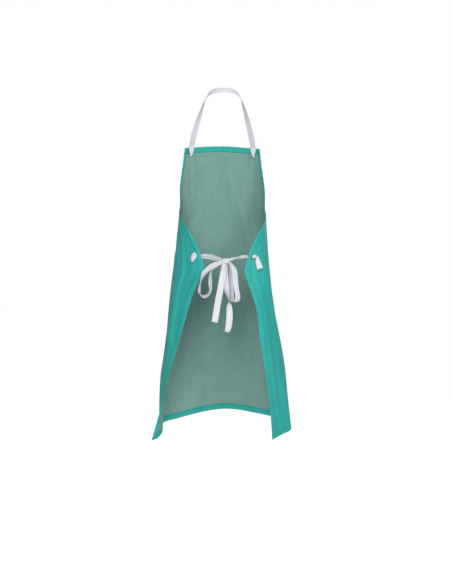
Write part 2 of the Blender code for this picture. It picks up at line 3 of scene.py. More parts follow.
import bmesh
import bpy
import numpy as np
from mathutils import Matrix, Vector


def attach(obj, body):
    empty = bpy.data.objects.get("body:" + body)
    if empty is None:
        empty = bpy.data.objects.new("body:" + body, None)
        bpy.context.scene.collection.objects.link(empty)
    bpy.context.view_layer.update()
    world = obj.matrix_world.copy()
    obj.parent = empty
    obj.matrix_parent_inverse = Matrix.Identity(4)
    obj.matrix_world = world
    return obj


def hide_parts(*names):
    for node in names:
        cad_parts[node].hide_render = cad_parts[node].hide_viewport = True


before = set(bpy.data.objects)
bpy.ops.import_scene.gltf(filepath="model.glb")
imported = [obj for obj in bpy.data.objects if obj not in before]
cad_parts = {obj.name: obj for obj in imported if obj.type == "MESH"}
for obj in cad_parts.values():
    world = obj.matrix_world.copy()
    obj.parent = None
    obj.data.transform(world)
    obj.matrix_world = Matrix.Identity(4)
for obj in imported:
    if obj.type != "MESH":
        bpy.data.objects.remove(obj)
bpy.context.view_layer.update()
left, right = 1, -1
bothSides = ((left, "L"), (right, "R"))


def newObject(name, data):
    made = bpy.data.objects.new(name, data)
    bpy.context.scene.collection.objects.link(made)
    return made


# The camera looks at the open back, level with the waist
photo = {
    "height": 584,  # the longer side, in pixels
    "focalPixels": 1049,
    "place": (-0.0076, 3.200, -0.616),
    "turn": (90, 0, 180),  # degrees
    "sensor": 36.0,
    "farthest": 60,
}


def makeCamera():
    camera = bpy.data.cameras.new("photoCamera")
    camera.sensor_width = photo["sensor"]
    camera.lens = photo["sensor"] * photo["focalPixels"] / photo["height"]
    camera.clip_end = photo["farthest"]
    made = newObject("photoCamera", camera)
    made.location = photo["place"]
    made.rotation_euler = [math.radians(turn) for turn in photo["turn"]]
    bpy.context.scene.camera = made


makeCamera()
print("camera placed")


# Small tools

# Every column of a table read at x, with a smooth curve between its rows.
def curveThrough(rows, x):
    table = np.array(rows, dtype=float)
    table = table[np.argsort(table[:, 0])]
    at = table[:, 0]
    x = np.clip(np.asarray(x, dtype=float), at[0], at[-1])
    steps = np.diff(at)[:, None]
    chords = np.diff(table, axis=0) / steps
    slopes = np.empty_like(table)
    slopes[0], slopes[-1] = chords[0], chords[-1]
    slopes[1:-1] = (chords[:-1] * steps[1:] + chords[1:] * steps[:-1]) / (steps[1:] + steps[:-1])
    i = np.clip(np.searchsorted(at, x, side="right") - 1, 0, len(at) - 2)
    step = (at[i + 1] - at[i])[..., None]
    t = (x - at[i])[..., None] / step
    rise = t * t * (3 - 2 * t)
    bend = t * (1 - t) ** 2 * slopes[i] - t * t * (1 - t) * slopes[i + 1]
    return (1 - rise) * table[i] + rise * table[i + 1] + step * bend


def smoothStep(t):
    t = np.clip(t, 0.0, 1.0)
    return t * t * (3 - 2 * t)


def unit(vectors):
    return vectors / np.linalg.norm(vectors, axis=-1, keepdims=True)


# Directions made square to an axis.
def squareTo(vectors, axis):
    return unit(vectors - axis * np.sum(vectors * axis, axis=-1, keepdims=True))


# Distance along a line of points, from its first.
def runAlong(points):
    return np.concatenate([[0], np.cumsum(np.linalg.norm(np.diff(points, axis=0), axis=1))])


# Every column of a table read at places along its run.
def readAlong(at, run, table):
    return np.column_stack([np.interp(at, run, column) for column in table.T])


# The faces between the rings of points round a tube, and the two that close its ends, all facing
# outwards. Clockwise says how the rings go round, seen from the last one.
def tubeFaces(rings, around, start=0, clockwise=True):
    sides = []
    for ring in range(rings - 1):
        for k in range(around):
            a, b = start + ring * around + k, start + ring * around + (k + 1) % around
            sides.append((a, a + around, b + around, b) if clockwise else (a, b, b + around, a + around))
    near = [start + k for k in range(around)]
    far = [start + (rings - 1) * around + k for k in range(around)]
    if clockwise:
        return sides, near, far[::-1]
    return sides, near[::-1], far


# A smooth mesh object from points and faces. Each uv layer has a value for every point.
def makePiece(name, points, faces, uvLayers=(), materials=()):
    mesh = bpy.data.meshes.new(name)
    mesh.from_pydata([tuple(p) for p in points], [], [tuple(f) for f in faces])
    loops = np.zeros(len(mesh.loops), dtype=int)
    mesh.loops.foreach_get("vertex_index", loops)
    for layerName, values in uvLayers:
        layer = mesh.uv_layers.new(name=layerName)
        layer.data.foreach_set("uv", np.asarray(values, dtype=np.float32)[loops].ravel())
    for finish in materials:
        mesh.materials.append(finish)
    mesh.shade_smooth()
    return newObject(name, mesh)


# Shader groups that the finishes share, and what the patterns in them are made of

pattern = {
    # noises, as scale and detail
    "slub": (60.0, 3.0),
    "cloud": (15.0, 5.0),
    "fleck": (900.0, 2.0),
    "crease": (11.0, 2.5),
    "soft": (26.0, 3.0),
    "pucker": (190.0, 1.5),
    "rub": (140.0, 3.0),
    # where a mask starts and ends, in the noise's own value
    "cloudRange": (0.30, 0.72),
    "fleckRange": (0.30, 0.75),
    "creaseRange": (0.0, 0.075),
    "rubRange": (0.30, 0.65),
    # the same in metres from the row of stitches, and in shares of the tape's width
    "puckerRange": (0.0008, 0.0075),
    "seamShadeRange": (0.0002, 0.0016),
    "selvedgeRange": (0.40, 0.47),
    # how much closer a pattern is across and up
    "slubStretch": (1.0, 14.0, 1.0),
    "creaseStretch": (1.7, 0.6, 1.0),
    "puckerStretches": ((1.0, 0.18, 1.0), (0.18, 1.0, 1.0)),
    "creaseTurn": 14,  # degrees
    "creaseShare": 0.35,
    "tapeThread": 0.0009,  # metres from one warp thread of the tape to the next
    "tapeThreadShare": 0.2,
    # the colour of the painted shade along the groove of each row of stitches
    "seamShadeColour": (0.0, 0.02, 0.017, 1),
}


# A shader group with its sockets, given as names with their kinds.
def newGroup(name, takes, gives):
    group = bpy.data.node_groups.new(name, "ShaderNodeTree")
    for side, sockets in (("INPUT", takes), ("OUTPUT", gives)):
        for socketName, kind in sockets.items():
            group.interface.new_socket(socketName, in_out=side, socket_type="NodeSocket" + kind)
    return group, group.nodes.new("NodeGroupInput").outputs, group.nodes.new("NodeGroupOutput").inputs


# A Math node fed by sockets or numbers. Gives back its output.
def maths(tree, kind, a, b=None, c=None):
    node = tree.nodes.new("ShaderNodeMath")
    node.operation = kind
    for socket, value in zip(node.inputs, (a, b, c)):
        if value is None:
            continue
        if isinstance(value, (int, float)):
            socket.default_value = value
        else:
            tree.links.new(value, socket)
    return node.outputs[0]


def mixColours(tree, share, first, second):
    node = tree.nodes.new("ShaderNodeMix")
    node.data_type = "RGBA"
    for name, value in (("Factor", share), ("A", first), ("B", second)):
        if isinstance(value, bpy.types.NodeSocket):
            tree.links.new(value, node.inputs[name])
        else:
            node.inputs[name].default_value = value
    return next(s for s in node.outputs if s.name == "Result" and s.type == "RGBA")


# Rises smoothly from 0 at low to 1 at high.
def ramp(tree, value, low, high):
    node = tree.nodes.new("ShaderNodeMapRange")
    node.interpolation_type = "SMOOTHSTEP"
    tree.links.new(value, node.inputs["Value"])
    node.inputs["From Min"].default_value = low
    node.inputs["From Max"].default_value = high
    return node.outputs["Result"]


# Falls smoothly from 1 at low to 0 at high.
def fade(tree, value, low, high):
    return maths(tree, "SUBTRACT", 1.0, ramp(tree, value, low, high))


def splitUv(tree, uv):
    node = tree.nodes.new("ShaderNodeSeparateXYZ")
    tree.links.new(uv, node.inputs[0])
    return node.outputs["X"], node.outputs["Y"]


def noise(tree, uv, scale, detail):
    node = tree.nodes.new("ShaderNodeTexNoise")
    tree.links.new(uv, node.inputs["Vector"])
    node.inputs["Scale"].default_value = scale
    node.inputs["Detail"].default_value = detail
    return node.outputs["Fac"]


def stretched(tree, uv, scale, degrees=0):
    node = tree.nodes.new("ShaderNodeMapping")
    node.inputs["Rotation"].default_value = (0, 0, math.radians(degrees))
    node.inputs["Scale"].default_value = scale
    tree.links.new(uv, node.inputs["Vector"])
    return node.outputs[0]


# A close plain weave of uneven threads, which cross at the pitch, in metres.
def clothWeaveGroup():
    group, given, result = newGroup(
        "closeWeave", {"Cut": "Vector", "Pitch": "Float", "Slub": "Float"}, {"Height": "Float"})
    x, y = splitUv(group, given["Cut"])
    turns = maths(group, "DIVIDE", 2 * math.pi, given["Pitch"])
    warp = maths(group, "SINE", maths(group, "MULTIPLY", x, turns))
    weft = maths(group, "SINE", maths(group, "MULTIPLY", y, turns))
    weave = maths(group, "MULTIPLY", maths(group, "MULTIPLY", warp, weft), 0.5)
    drawn = stretched(group, given["Cut"], pattern["slubStretch"])
    uneven = maths(group, "SUBTRACT", noise(group, drawn, *pattern["slub"]), 0.5)
    group.links.new(maths(group, "MULTIPLY_ADD", uneven, given["Slub"], weave), result["Height"])
    return group


# A herringbone tape: fine ribs that lean one way, then the other, across its width.
def tapeWeaveGroup():
    group, given, result = newGroup(
        "tapeWeave", {"Run": "Vector", "Pitch": "Float", "Width": "Float"},
        {"Height": "Float", "Selvedge": "Float"})
    along, across = splitUv(group, given["Run"])
    share = maths(group, "DIVIDE", across, given["Width"])
    zigzag = maths(group, "PINGPONG", maths(group, "ADD", share, 0.5), 0.25)
    lean = maths(group, "MULTIPLY", zigzag, given["Width"])
    ribs = maths(group, "DIVIDE", maths(group, "ADD", along, lean), given["Pitch"])
    ribWave = maths(group, "SINE", maths(group, "MULTIPLY", ribs, 2 * math.pi))
    threads = maths(group, "SINE", maths(group, "MULTIPLY", across, 2 * math.pi / pattern["tapeThread"]))
    threads = maths(group, "MULTIPLY", threads, pattern["tapeThreadShare"])
    group.links.new(maths(group, "MULTIPLY_ADD", ribWave, 0.5, threads), result["Height"])
    selvedge = ramp(group, maths(group, "ABSOLUTE", share), *pattern["selvedgeRange"])
    group.links.new(selvedge, result["Selvedge"])
    return group


# Dye and handling never leave one flat colour: slow clouds, and fine flecks in the thread.
def unevenGroup():
    group, given, result = newGroup(
        "unevenDye", {"Cut": "Vector", "Colour": "Color", "Deep Colour": "Color", "Amount": "Float"},
        {"Colour": "Color", "Cloud": "Float"})
    cloud = ramp(group, noise(group, given["Cut"], *pattern["cloud"]), *pattern["cloudRange"])
    fleck = ramp(group, noise(group, given["Cut"], *pattern["fleck"]), *pattern["fleckRange"])
    both = maths(group, "MULTIPLY_ADD", fleck, 0.5, maths(group, "MULTIPLY", cloud, 0.5))
    share = maths(group, "MULTIPLY", both, given["Amount"])
    group.links.new(mixColours(group, share, given["Colour"], given["Deep Colour"]), result["Colour"])
    group.links.new(cloud, result["Cloud"])
    return group


# Small creases left by folding and wear, and the puckers that a row of stitches draws up.
def creaseGroup():
    group, given, result = newGroup(
        "smallCreases", {"Cut": "Vector", "Edge": "Vector", "Creasing": "Float", "Pucker": "Float"},
        {"Height": "Float"})
    slanted = stretched(group, given["Cut"], pattern["creaseStretch"], pattern["creaseTurn"])
    middle = maths(group, "SUBTRACT", noise(group, slanted, *pattern["crease"]), 0.5)
    sharp = fade(group, maths(group, "ABSOLUTE", middle), *pattern["creaseRange"])
    soft = noise(group, given["Cut"], *pattern["soft"])
    height = maths(group, "MULTIPLY_ADD", sharp, pattern["creaseShare"], soft)
    height = maths(group, "MULTIPLY", height, given["Creasing"])
    fromSeam = maths(group, "ABSOLUTE", splitUv(group, given["Edge"])[1])
    near = fade(group, fromSeam, *pattern["puckerRange"])
    drawn = [noise(group, stretched(group, given["Cut"], scale), *pattern["pucker"])
             for scale in pattern["puckerStretches"]]
    pucker = maths(group, "MULTIPLY", near, maths(group, "ADD", *drawn))
    pucker = maths(group, "MULTIPLY", pucker, given["Pucker"])
    group.links.new(maths(group, "ADD", height, pucker), result["Height"])
    return group


# Where a folded edge has rubbed pale, and a painted shade along the groove that its row of stitches sinks
# into.
def edgeWearAndSeamShadeGroup():
    group, given, result = newGroup(
        "edgeWearAndSeamShade",
        {"Edge": "Vector", "Colour": "Color", "Rubbed Colour": "Color", "Rub": "Float", "Reach": "Float",
         "Seam Shade": "Float"},
        {"Colour": "Color", "Rubbed": "Float"})
    distance, fromSeam = splitUv(group, given["Edge"])
    near = maths(group, "SUBTRACT", 1.0, maths(group, "DIVIDE", distance, given["Reach"]))
    near = maths(group, "MAXIMUM", near, 0.0)
    patchy = ramp(group, noise(group, given["Edge"], *pattern["rub"]), *pattern["rubRange"])
    rubbed = maths(group, "MULTIPLY", maths(group, "MULTIPLY", near, patchy), given["Rub"])
    pale = mixColours(group, rubbed, given["Colour"], given["Rubbed Colour"])
    # Painted shade: a dark line along the groove of each row of stitches, where shade falls.
    seam = fade(group, maths(group, "ABSOLUTE", fromSeam), *pattern["seamShadeRange"])
    shade = maths(group, "MULTIPLY", seam, given["Seam Shade"])
    group.links.new(mixColours(group, shade, pale, pattern["seamShadeColour"]), result["Colour"])
    group.links.new(rubbed, result["Rubbed"])
    return group


groups = {
    "weave": clothWeaveGroup(),
    "tape": tapeWeaveGroup(),
    "uneven": unevenGroup(),
    "wearAndSeamShade": edgeWearAndSeamShadeGroup(),
    "creases": creaseGroup(),
}
print("shader groups built")


# The finishes

def placeGroup(tree, key, links, **values):
    node = tree.nodes.new("ShaderNodeGroup")
    node.node_tree = groups[key]
    for name, value in values.items():
        node.inputs[name.replace("_", " ")].default_value = value
    for name, socket in links.items():
        tree.links.new(socket, node.inputs[name])
    return node


def uvMap(tree, name):
    node = tree.nodes.new("ShaderNodeUVMap")
    node.uv_map = name
    return node.outputs["UV"]


def newFinish(name):
    finish = bpy.data.materials.new(name)
    finish.use_nodes = True
    tree = finish.node_tree
    return finish, tree, tree.nodes["Principled BSDF"]


def bumped(tree, height, strength, distance, onto, invert=False):
    bump = tree.nodes.new("ShaderNodeBump")
    bump.invert = invert
    bump.inputs["Strength"].default_value = strength
    bump.inputs["Distance"].default_value = distance
    tree.links.new(height, bump.inputs["Height"])
    tree.links.new(bump.outputs["Normal"], onto)
    return bump


def setGloss(shader, specular, sheen, sheenRoughness):
    shader.inputs["Specular IOR Level"].default_value = specular
    shader.inputs["Sheen Weight"].default_value = sheen
    shader.inputs["Sheen Roughness"].default_value = sheenRoughness


clothLook = {
    # seamShade is the strength of the painted shade along each row of stitches, on each face
    "outer": {"colour": (0.030, 0.400, 0.358, 1), "deepColour": (0.018, 0.318, 0.284, 1), "uneven": 0.8,
              "roughness": 0.52, "sheen": 0.04, "weave": 0.8, "seamShade": 0.22, "inside": False},
    "inner": {"colour": (0.190, 0.345, 0.308, 1), "deepColour": (0.142, 0.285, 0.252, 1), "uneven": 0.5,
              "roughness": 0.70, "sheen": 0.03, "weave": 0.6, "seamShade": 0.16, "inside": True},
    "weavePitch": 0.0010,
    "weaveDepth": 0.00018,
    "slub": 0.35,
    "creasing": 1.2,
    "creaseDepth": 0.0022,
    "pucker": 0.45,
    "rubbedColour": (0.120, 0.450, 0.400, 1),
    "rub": 0.45,
    "rubReach": 0.0045,
    # what clouds in the dye and rubbed edges add to the roughness
    "cloudRoughness": 0.06,
    "rubRoughness": 0.12,
    "specular": 0.18,
    "sheenRoughness": 0.4,
}


def clothFinish(name, face):
    finish, tree, shader = newFinish(name)
    cut, edge = uvMap(tree, "cut"), uvMap(tree, "edge")
    weave = placeGroup(tree, "weave", {"Cut": cut}, Pitch=clothLook["weavePitch"], Slub=clothLook["slub"])
    dye = placeGroup(tree, "uneven", {"Cut": cut}, Colour=face["colour"], Deep_Colour=face["deepColour"],
                     Amount=face["uneven"])
    # the dye with rubbed pale edges, and painted shade along the rows of stitches
    wearAndSeamShade = placeGroup(tree, "wearAndSeamShade", {"Edge": edge, "Colour": dye.outputs["Colour"]},
                      Rubbed_Colour=clothLook["rubbedColour"], Rub=clothLook["rub"],
                      Reach=clothLook["rubReach"], Seam_Shade=face["seamShade"])
    creasing = placeGroup(tree, "creases", {"Cut": cut, "Edge": edge}, Creasing=clothLook["creasing"],
                          Pucker=clothLook["pucker"])
    tree.links.new(wearAndSeamShade.outputs["Colour"], shader.inputs["Base Color"])
    rough = maths(tree, "MULTIPLY_ADD", dye.outputs["Cloud"], clothLook["cloudRoughness"], face["roughness"])
    rough = maths(tree, "MULTIPLY_ADD", wearAndSeamShade.outputs["Rubbed"], clothLook["rubRoughness"], rough)
    tree.links.new(rough, shader.inputs["Roughness"])
    fine = bumped(tree, weave.outputs["Height"], face["weave"], clothLook["weaveDepth"],
                  shader.inputs["Normal"])
    bumped(tree, creasing.outputs["Height"], 1.0, clothLook["creaseDepth"], fine.inputs["Normal"],
           invert=face["inside"])
    setGloss(shader, clothLook["specular"], face["sheen"], clothLook["sheenRoughness"])
    return finish


tapeLook = {
    "width": 0.019,
    "colour": (0.690, 0.700, 0.755, 1),
    "deepColour": (0.605, 0.615, 0.672, 1),
    "selvedgeColour": (0.66, 0.655, 0.71, 1),
    "selvedgeShare": 0.25,
    "uneven": 0.55,
    "ribPitch": 0.0013,
    "weave": 0.7,
    "weaveDepth": 0.0002,
    "roughness": 0.78,
    "cloudRoughness": 0.08,
    "specular": 0.25,
    "sheen": 0.15,
    "sheenRoughness": 0.5,
}


def tapeFinish():
    finish, tree, shader = newFinish("wovenTape")
    run = uvMap(tree, "run")
    weave = placeGroup(tree, "tape", {"Run": run}, Pitch=tapeLook["ribPitch"], Width=tapeLook["width"])
    dye = placeGroup(tree, "uneven", {"Cut": run}, Colour=tapeLook["colour"],
                     Deep_Colour=tapeLook["deepColour"], Amount=tapeLook["uneven"])
    selvedge = maths(tree, "MULTIPLY", weave.outputs["Selvedge"], tapeLook["selvedgeShare"])
    colour = mixColours(tree, selvedge, dye.outputs["Colour"], tapeLook["selvedgeColour"])
    tree.links.new(colour, shader.inputs["Base Color"])
    rough = maths(tree, "MULTIPLY_ADD", dye.outputs["Cloud"], tapeLook["cloudRoughness"],
                  tapeLook["roughness"])
    tree.links.new(rough, shader.inputs["Roughness"])
    bumped(tree, weave.outputs["Height"], tapeLook["weave"], tapeLook["weaveDepth"], shader.inputs["Normal"])
    setGloss(shader, tapeLook["specular"], tapeLook["sheen"], tapeLook["sheenRoughness"])
    return finish


threadLook = {
    "sewn": (0.045, 0.400, 0.352, 1),
    "frayed": (0.76, 0.76, 0.80, 1),
    "deepShare": 0.7,  # of the colour, where the dye is deepest
    "uneven": 0.8,
    "roughness": 0.45,
    "cloudRoughness": 0.1,
}


def threadFinish(name, colour):
    finish, tree, shader = newFinish(name)
    place = tree.nodes.new("ShaderNodeTexCoord").outputs["Object"]
    deep = tuple(c * threadLook["deepShare"] for c in colour[:3]) + (1,)
    dye = placeGroup(tree, "uneven", {"Cut": place}, Colour=colour, Deep_Colour=deep,
                     Amount=threadLook["uneven"])
    tree.links.new(dye.outputs["Colour"], shader.inputs["Base Color"])
    rough = maths(tree, "MULTIPLY_ADD", dye.outputs["Cloud"], threadLook["cloudRoughness"],
                  threadLook["roughness"])
    tree.links.new(rough, shader.inputs["Roughness"])
    return finish


finishes = {
    "outer": clothFinish("outerCloth", clothLook["outer"]),
    "inner": clothFinish("innerCloth", clothLook["inner"]),
    "tape": tapeFinish(),
    "thread": threadFinish("sewingThread", threadLook["sewn"]),
    "tapeThread": threadFinish("frayedThread", threadLook["frayed"]),
}
print("finishes mixed")


# The cloth: where each point of the flat cut hangs. Across is from the front centre, positive
# towards the left side as worn, and up is from the hem.

apron = {
    "halfWidth": 0.380,
    "sideLength": 0.545,
    "cutLength": 0.860,
    "hemHeight": -0.994,
    "bibHeight": -0.148,
    "sideHem": 0.018,
    "armholeHem": 0.010,
    # up from the waist corner, half width
    "armhole": [(0.000, 0.380), (0.030, 0.364), (0.055, 0.354), (0.080, 0.336), (0.100, 0.313),
                (0.116, 0.282), (0.132, 0.237), (0.155, 0.198), (0.195, 0.170), (0.250, 0.150),
                (0.315, 0.140)],
    # height, middle x, front y, side y, squareness
    "front": [(-0.148, 0.004, -0.172, -0.080, 2.20), (-0.270, 0.004, -0.200, -0.085, 2.20),
              (-0.370, 0.004, -0.203, -0.085, 2.20), (-0.450, 0.004, -0.197, -0.085, 2.20),
              (-0.540, 0.002, -0.190, -0.085, 2.20), (-0.620, 0.000, -0.195, -0.083, 2.20),
              (-0.750, -0.004, -0.199, -0.078, 2.15), (-0.900, -0.007, -0.202, -0.072, 2.10),
              (-1.065, -0.010, -0.200, -0.068, 2.05)],
    # height, side x, edge x, edge y, turn of the cloth at the edge, pull
    "flap": {
        left: [(-0.148, 0.150, 0.055, 0.020, 88, 0.060), (-0.270, 0.148, 0.055, 0.024, 88, 0.060),
               (-0.370, 0.139, 0.056, 0.024, 88, 0.060), (-0.450, 0.148, 0.056, 0.024, 86, 0.060),
               (-0.540, 0.157, 0.059, 0.027, 84, 0.060), (-0.620, 0.166, 0.090, 0.031, 76, 0.050),
               (-0.750, 0.181, 0.130, 0.030, 55, 0.040), (-0.900, 0.194, 0.174, 0.028, 20, 0.035),
               (-0.985, 0.195, 0.195, 0.026, -30, 0.030), (-1.065, 0.193, 0.218, 0.020, -68, 0.032)],
        right: [(-0.148, 0.142, 0.060, 0.020, 88, 0.060), (-0.270, 0.140, 0.060, 0.024, 88, 0.060),
                (-0.370, 0.132, 0.062, 0.024, 88, 0.060), (-0.450, 0.137, 0.062, 0.024, 86, 0.060),
                (-0.550, 0.145, 0.064, 0.028, 84, 0.060), (-0.620, 0.152, 0.086, 0.033, 78, 0.052),
                (-0.670, 0.158, 0.101, 0.035, 70, 0.048), (-0.750, 0.172, 0.110, 0.034, 62, 0.046),
                (-0.900, 0.195, 0.132, 0.022, 50, 0.044), (-1.065, 0.213, 0.147, 0.004, 42, 0.040)],
    },
    # up, drop of the free edge below the front centre, power of the distance that it falls by
    "drop": {left: [(0.0, 0.058, 0.95), (0.545, 0.077, 1.60), (0.620, 0.078, 1.60), (0.690, 0.078, 1.60),
                    (0.860, 0.050, 1.60)],
             right: [(0.0, 0.0705, 1.25), (0.545, 0.090, 1.25), (0.620, 0.083, 1.25), (0.690, 0.071, 1.25),
                     (0.860, 0.050, 1.25)]},
    "dropStart": 0.10,
    "cornerDip": {left: 0.014, right: 0.002},
    "dipWidth": 0.055,
    "dipHeight": 0.200,
    "sideRun": 0.5,  # share of the flap's depth that it keeps straight on for at the side
    # the tables of sections: the heights that they cover, rows, and steps along each half
    "heights": (-1.080, -0.140),
    "heightSteps": 440,
    "roundSteps": 90,
    "flapSteps": 70,
    "runSteps": 161,
}


# The largest folds: side, top across, top up, foot across, foot up, depth outwards, width
folds = [
    (left, 0.286, 0.640, 0.350, 0.200, 0.0048, 0.0085),
    (left, 0.272, 0.640, 0.336, 0.200, -0.0032, 0.0090),
    (left, 0.322, 0.640, 0.372, 0.200, -0.0034, 0.0230),
    (left, 0.252, 0.560, 0.260, 0.250, 0.0014, 0.0120),
    (right, 0.272, 0.600, 0.262, 0.360, -0.0056, 0.0090),
    (right, 0.294, 0.580, 0.290, 0.300, 0.0022, 0.0110),
    (right, 0.318, 0.540, 0.330, 0.260, -0.0016, 0.0140),
    (right, 0.350, 0.520, 0.358, 0.300, 0.0020, 0.0140),
    (left, 0.120, 0.420, 0.150, -0.150, -0.0066, 0.034),
    (left, 0.205, 0.330, 0.225, -0.150, 0.0055, 0.030),
    (right, 0.090, 0.450, 0.105, -0.150, -0.0060, 0.036),
    (right, 0.190, 0.380, 0.215, -0.150, 0.0060, 0.032),
]

# Finer creases, most of them drawn from the holes that the tapes pull at
creases = [
    (left, 0.340, 0.567, 0.316, 0.515, -0.0021, 0.0050),
    (left, 0.347, 0.556, 0.339, 0.452, 0.0009, 0.0058),
    (left, 0.355, 0.556, 0.364, 0.470, -0.0005, 0.0052),
    (left, 0.340, 0.580, 0.296, 0.616, -0.0020, 0.0056),
    (left, 0.342, 0.588, 0.316, 0.650, 0.0015, 0.0056),
    (left, 0.334, 0.560, 0.296, 0.496, 0.0009, 0.0075),
    (left, 0.318, 0.330, 0.334, -0.060, -0.0032, 0.0150),
    (left, 0.356, 0.360, 0.350, 0.020, 0.0020, 0.0100),
    (left, 0.260, 0.500, 0.236, 0.200, -0.0034, 0.0130),
    (left, 0.284, 0.250, 0.290, -0.060, 0.0026, 0.0130),
    (right, 0.340, 0.568, 0.318, 0.506, -0.0020, 0.0052),
    (right, 0.347, 0.562, 0.343, 0.460, 0.0019, 0.0058),
    (right, 0.355, 0.561, 0.366, 0.486, -0.0014, 0.0052),
    (right, 0.340, 0.586, 0.300, 0.618, -0.0018, 0.0056),
    (right, 0.334, 0.566, 0.284, 0.502, 0.0019, 0.0078),
    (right, 0.322, 0.470, 0.334, 0.100, -0.0028, 0.0130),
    (right, 0.352, 0.330, 0.346, 0.010, 0.0022, 0.0110),
    (right, 0.290, 0.330, 0.300, -0.030, 0.0030, 0.0140),
    (right, 0.240, 0.520, 0.222, 0.200, -0.0034, 0.0140),
    (left, 0.240, 0.572, 0.110, 0.516, -0.0022, 0.0105),
    (left, 0.232, 0.606, 0.090, 0.590, 0.0018, 0.0105),
    (left, 0.216, 0.548, 0.128, 0.452, 0.0024, 0.0095),
    (left, 0.055, 0.720, 0.110, 0.470, -0.0034, 0.0130),
    (left, 0.100, 0.660, 0.176, 0.520, 0.0030, 0.0120),
    (left, 0.020, 0.620, 0.045, 0.300, -0.0040, 0.0180),
    (left, 0.060, 0.300, 0.075, -0.100, 0.0046, 0.0240),
    (left, 0.168, 0.220, 0.186, -0.100, -0.0030, 0.0180),
    (right, 0.236, 0.568, 0.118, 0.496, -0.0022, 0.0105),
    (right, 0.228, 0.604, 0.100, 0.574, 0.0018, 0.0105),
    (right, 0.206, 0.540, 0.140, 0.440, 0.0024, 0.0095),
    (right, 0.050, 0.710, 0.104, 0.490, -0.0034, 0.0120),
    (right, 0.115, 0.640, 0.190, 0.500, 0.0030, 0.0130),
    (right, 0.030, 0.580, 0.040, 0.240, 0.0038, 0.0190),
    (right, 0.010, 0.270, 0.020, -0.100, -0.0044, 0.0220),
    (right, 0.150, 0.250, 0.160, -0.100, 0.0028, 0.0170),
    (left, 0.112, 0.826, 0.056, 0.730, -0.0024, 0.0070),
    (left, 0.100, 0.836, 0.020, 0.806, 0.0019, 0.0075),
    (left, 0.118, 0.820, 0.106, 0.700, 0.0019, 0.0065),
    (left, 0.096, 0.840, 0.030, 0.838, -0.0012, 0.0060),
    (right, 0.112, 0.826, 0.060, 0.735, -0.0023, 0.0070),
    (right, 0.102, 0.836, 0.026, 0.812, 0.0019, 0.0075),
    (right, 0.118, 0.820, 0.102, 0.710, 0.0018, 0.0065),
    (left, 0.012, 0.800, 0.030, 0.640, 0.0022, 0.0160),
    (right, 0.024, 0.790, 0.030, 0.660, -0.0022, 0.0140),
]
foldFade = 0.30  # share of a crease's length that it fades out over


waves = {
    # how many metres from crest to crest across and up, depth, start
    "slow": [(0.210, 0.900, 0.0018, 0.3), (0.135, -0.640, 0.0013, 1.9), (0.083, 0.410, 0.0007, 4.1)],
    "hemPitch": 0.0215,
    "hemDepth": 0.00060,
    "hemReach": 0.024,
    "hemUneven": (0.4, 61.0, 1.3),  # share of the depth, radians a metre, start
    "hemSway": (2.2, 37.0),  # how far the crests shift, in radians, and radians a metre
    "armholeRun": 0.6,  # how much the run along an armhole gains for each step inwards
}


def halfWidth(up):
    armhole = curveThrough(apron["armhole"], up - apron["sideLength"])[..., 1]
    return np.where(up <= apron["sideLength"], apron["halfWidth"], armhole)


# How much the side or armhole edge leans outwards for each step up.
def edgeSlope(up, step=0.002):
    return (halfWidth(up + step) - halfWidth(up - step)) / (2 * step)


# Distance to the side or armhole edge, measured square to it.
def edgeDistance(across, up):
    return (halfWidth(up) - np.abs(across)) / np.hypot(1.0, edgeSlope(up))


# Share of the drop at a reach from 0 to 1. It starts level, with no crease down the front.
def dropShare(reach, power):
    start, soft = apron["dropStart"] ** power, apron["dropStart"] ** 2
    return ((reach ** 2 + soft) ** (power / 2) - start) / ((1 + soft) ** (power / 2) - start)


# The height that a point of the cut hangs at.
def level(across, up, side):
    reach = np.minimum(np.abs(across) / apron["halfWidth"], 1.0)
    drop = curveThrough(apron["drop"][side], up)
    height = apron["hemHeight"] + (apron["bibHeight"] - apron["hemHeight"]) * up / apron["cutLength"]
    height = height - drop[..., 1] * dropShare(reach, drop[..., 2])
    nearEdge = smoothStep((np.abs(across) - apron["halfWidth"] + apron["dipWidth"]) / apron["dipWidth"])
    return height - apron["cornerDip"][side] * nearEdge * smoothStep(1 - up / apron["dipHeight"])


# Horizontal sections of one half at many heights, each at even steps along the cloth. The
# front is a rounded form, and the flap behind it a curve that turns in to the free edge.
def sectionTable(side):
    heights = np.linspace(*apron["heights"], apron["heightSteps"])
    front = curveThrough(apron["front"], heights)
    flap = curveThrough(apron["flap"][side], heights)
    centre, frontY, sideY = front[:, 1:2] * side, front[:, 2:3], front[:, 3:4]
    sideX, edgeX, edgeY, pull = flap[:, 1:2], flap[:, 2:3], flap[:, 3:4], flap[:, 5:6]
    turn = np.radians(flap[:, 4:5])
    angle = np.linspace(0, math.pi / 2, apron["roundSteps"])[None, :]
    power = 2 / front[:, 4:5]
    roundX = centre + (sideX - centre) * np.sin(angle) ** power
    roundY = sideY + (frontY - sideY) * np.cos(angle).clip(0) ** power
    t = np.linspace(0, 1, apron["flapSteps"])[None, 1:]
    bezier = [(1 - t) ** 3, 3 * t * (1 - t) ** 2, 3 * t * t * (1 - t), t ** 3]
    xs = [sideX, sideX, edgeX + pull * np.sin(turn), edgeX]
    ys = [sideY, sideY + apron["sideRun"] * (edgeY - sideY), edgeY - pull * np.cos(turn), edgeY]
    x = np.hstack([roundX, sum(b * p for b, p in zip(bezier, xs))])
    y = np.hstack([roundY, sum(b * p for b, p in zip(bezier, ys))])
    runs = np.zeros_like(x)
    runs[:, 1:] = np.cumsum(np.hypot(np.diff(x), np.diff(y)), axis=1)
    even = np.linspace(0, 1, apron["runSteps"])
    rows = [(np.interp(even * r[-1], r, px) * side, np.interp(even * r[-1], r, py))
            for r, px, py in zip(runs, x, y)]
    return heights, np.array(rows).transpose(0, 2, 1)


sections = {side: sectionTable(side) for side in (left, right)}
lastCell = 1.001  # taken off a count of rows, it keeps a reading just inside the last cell


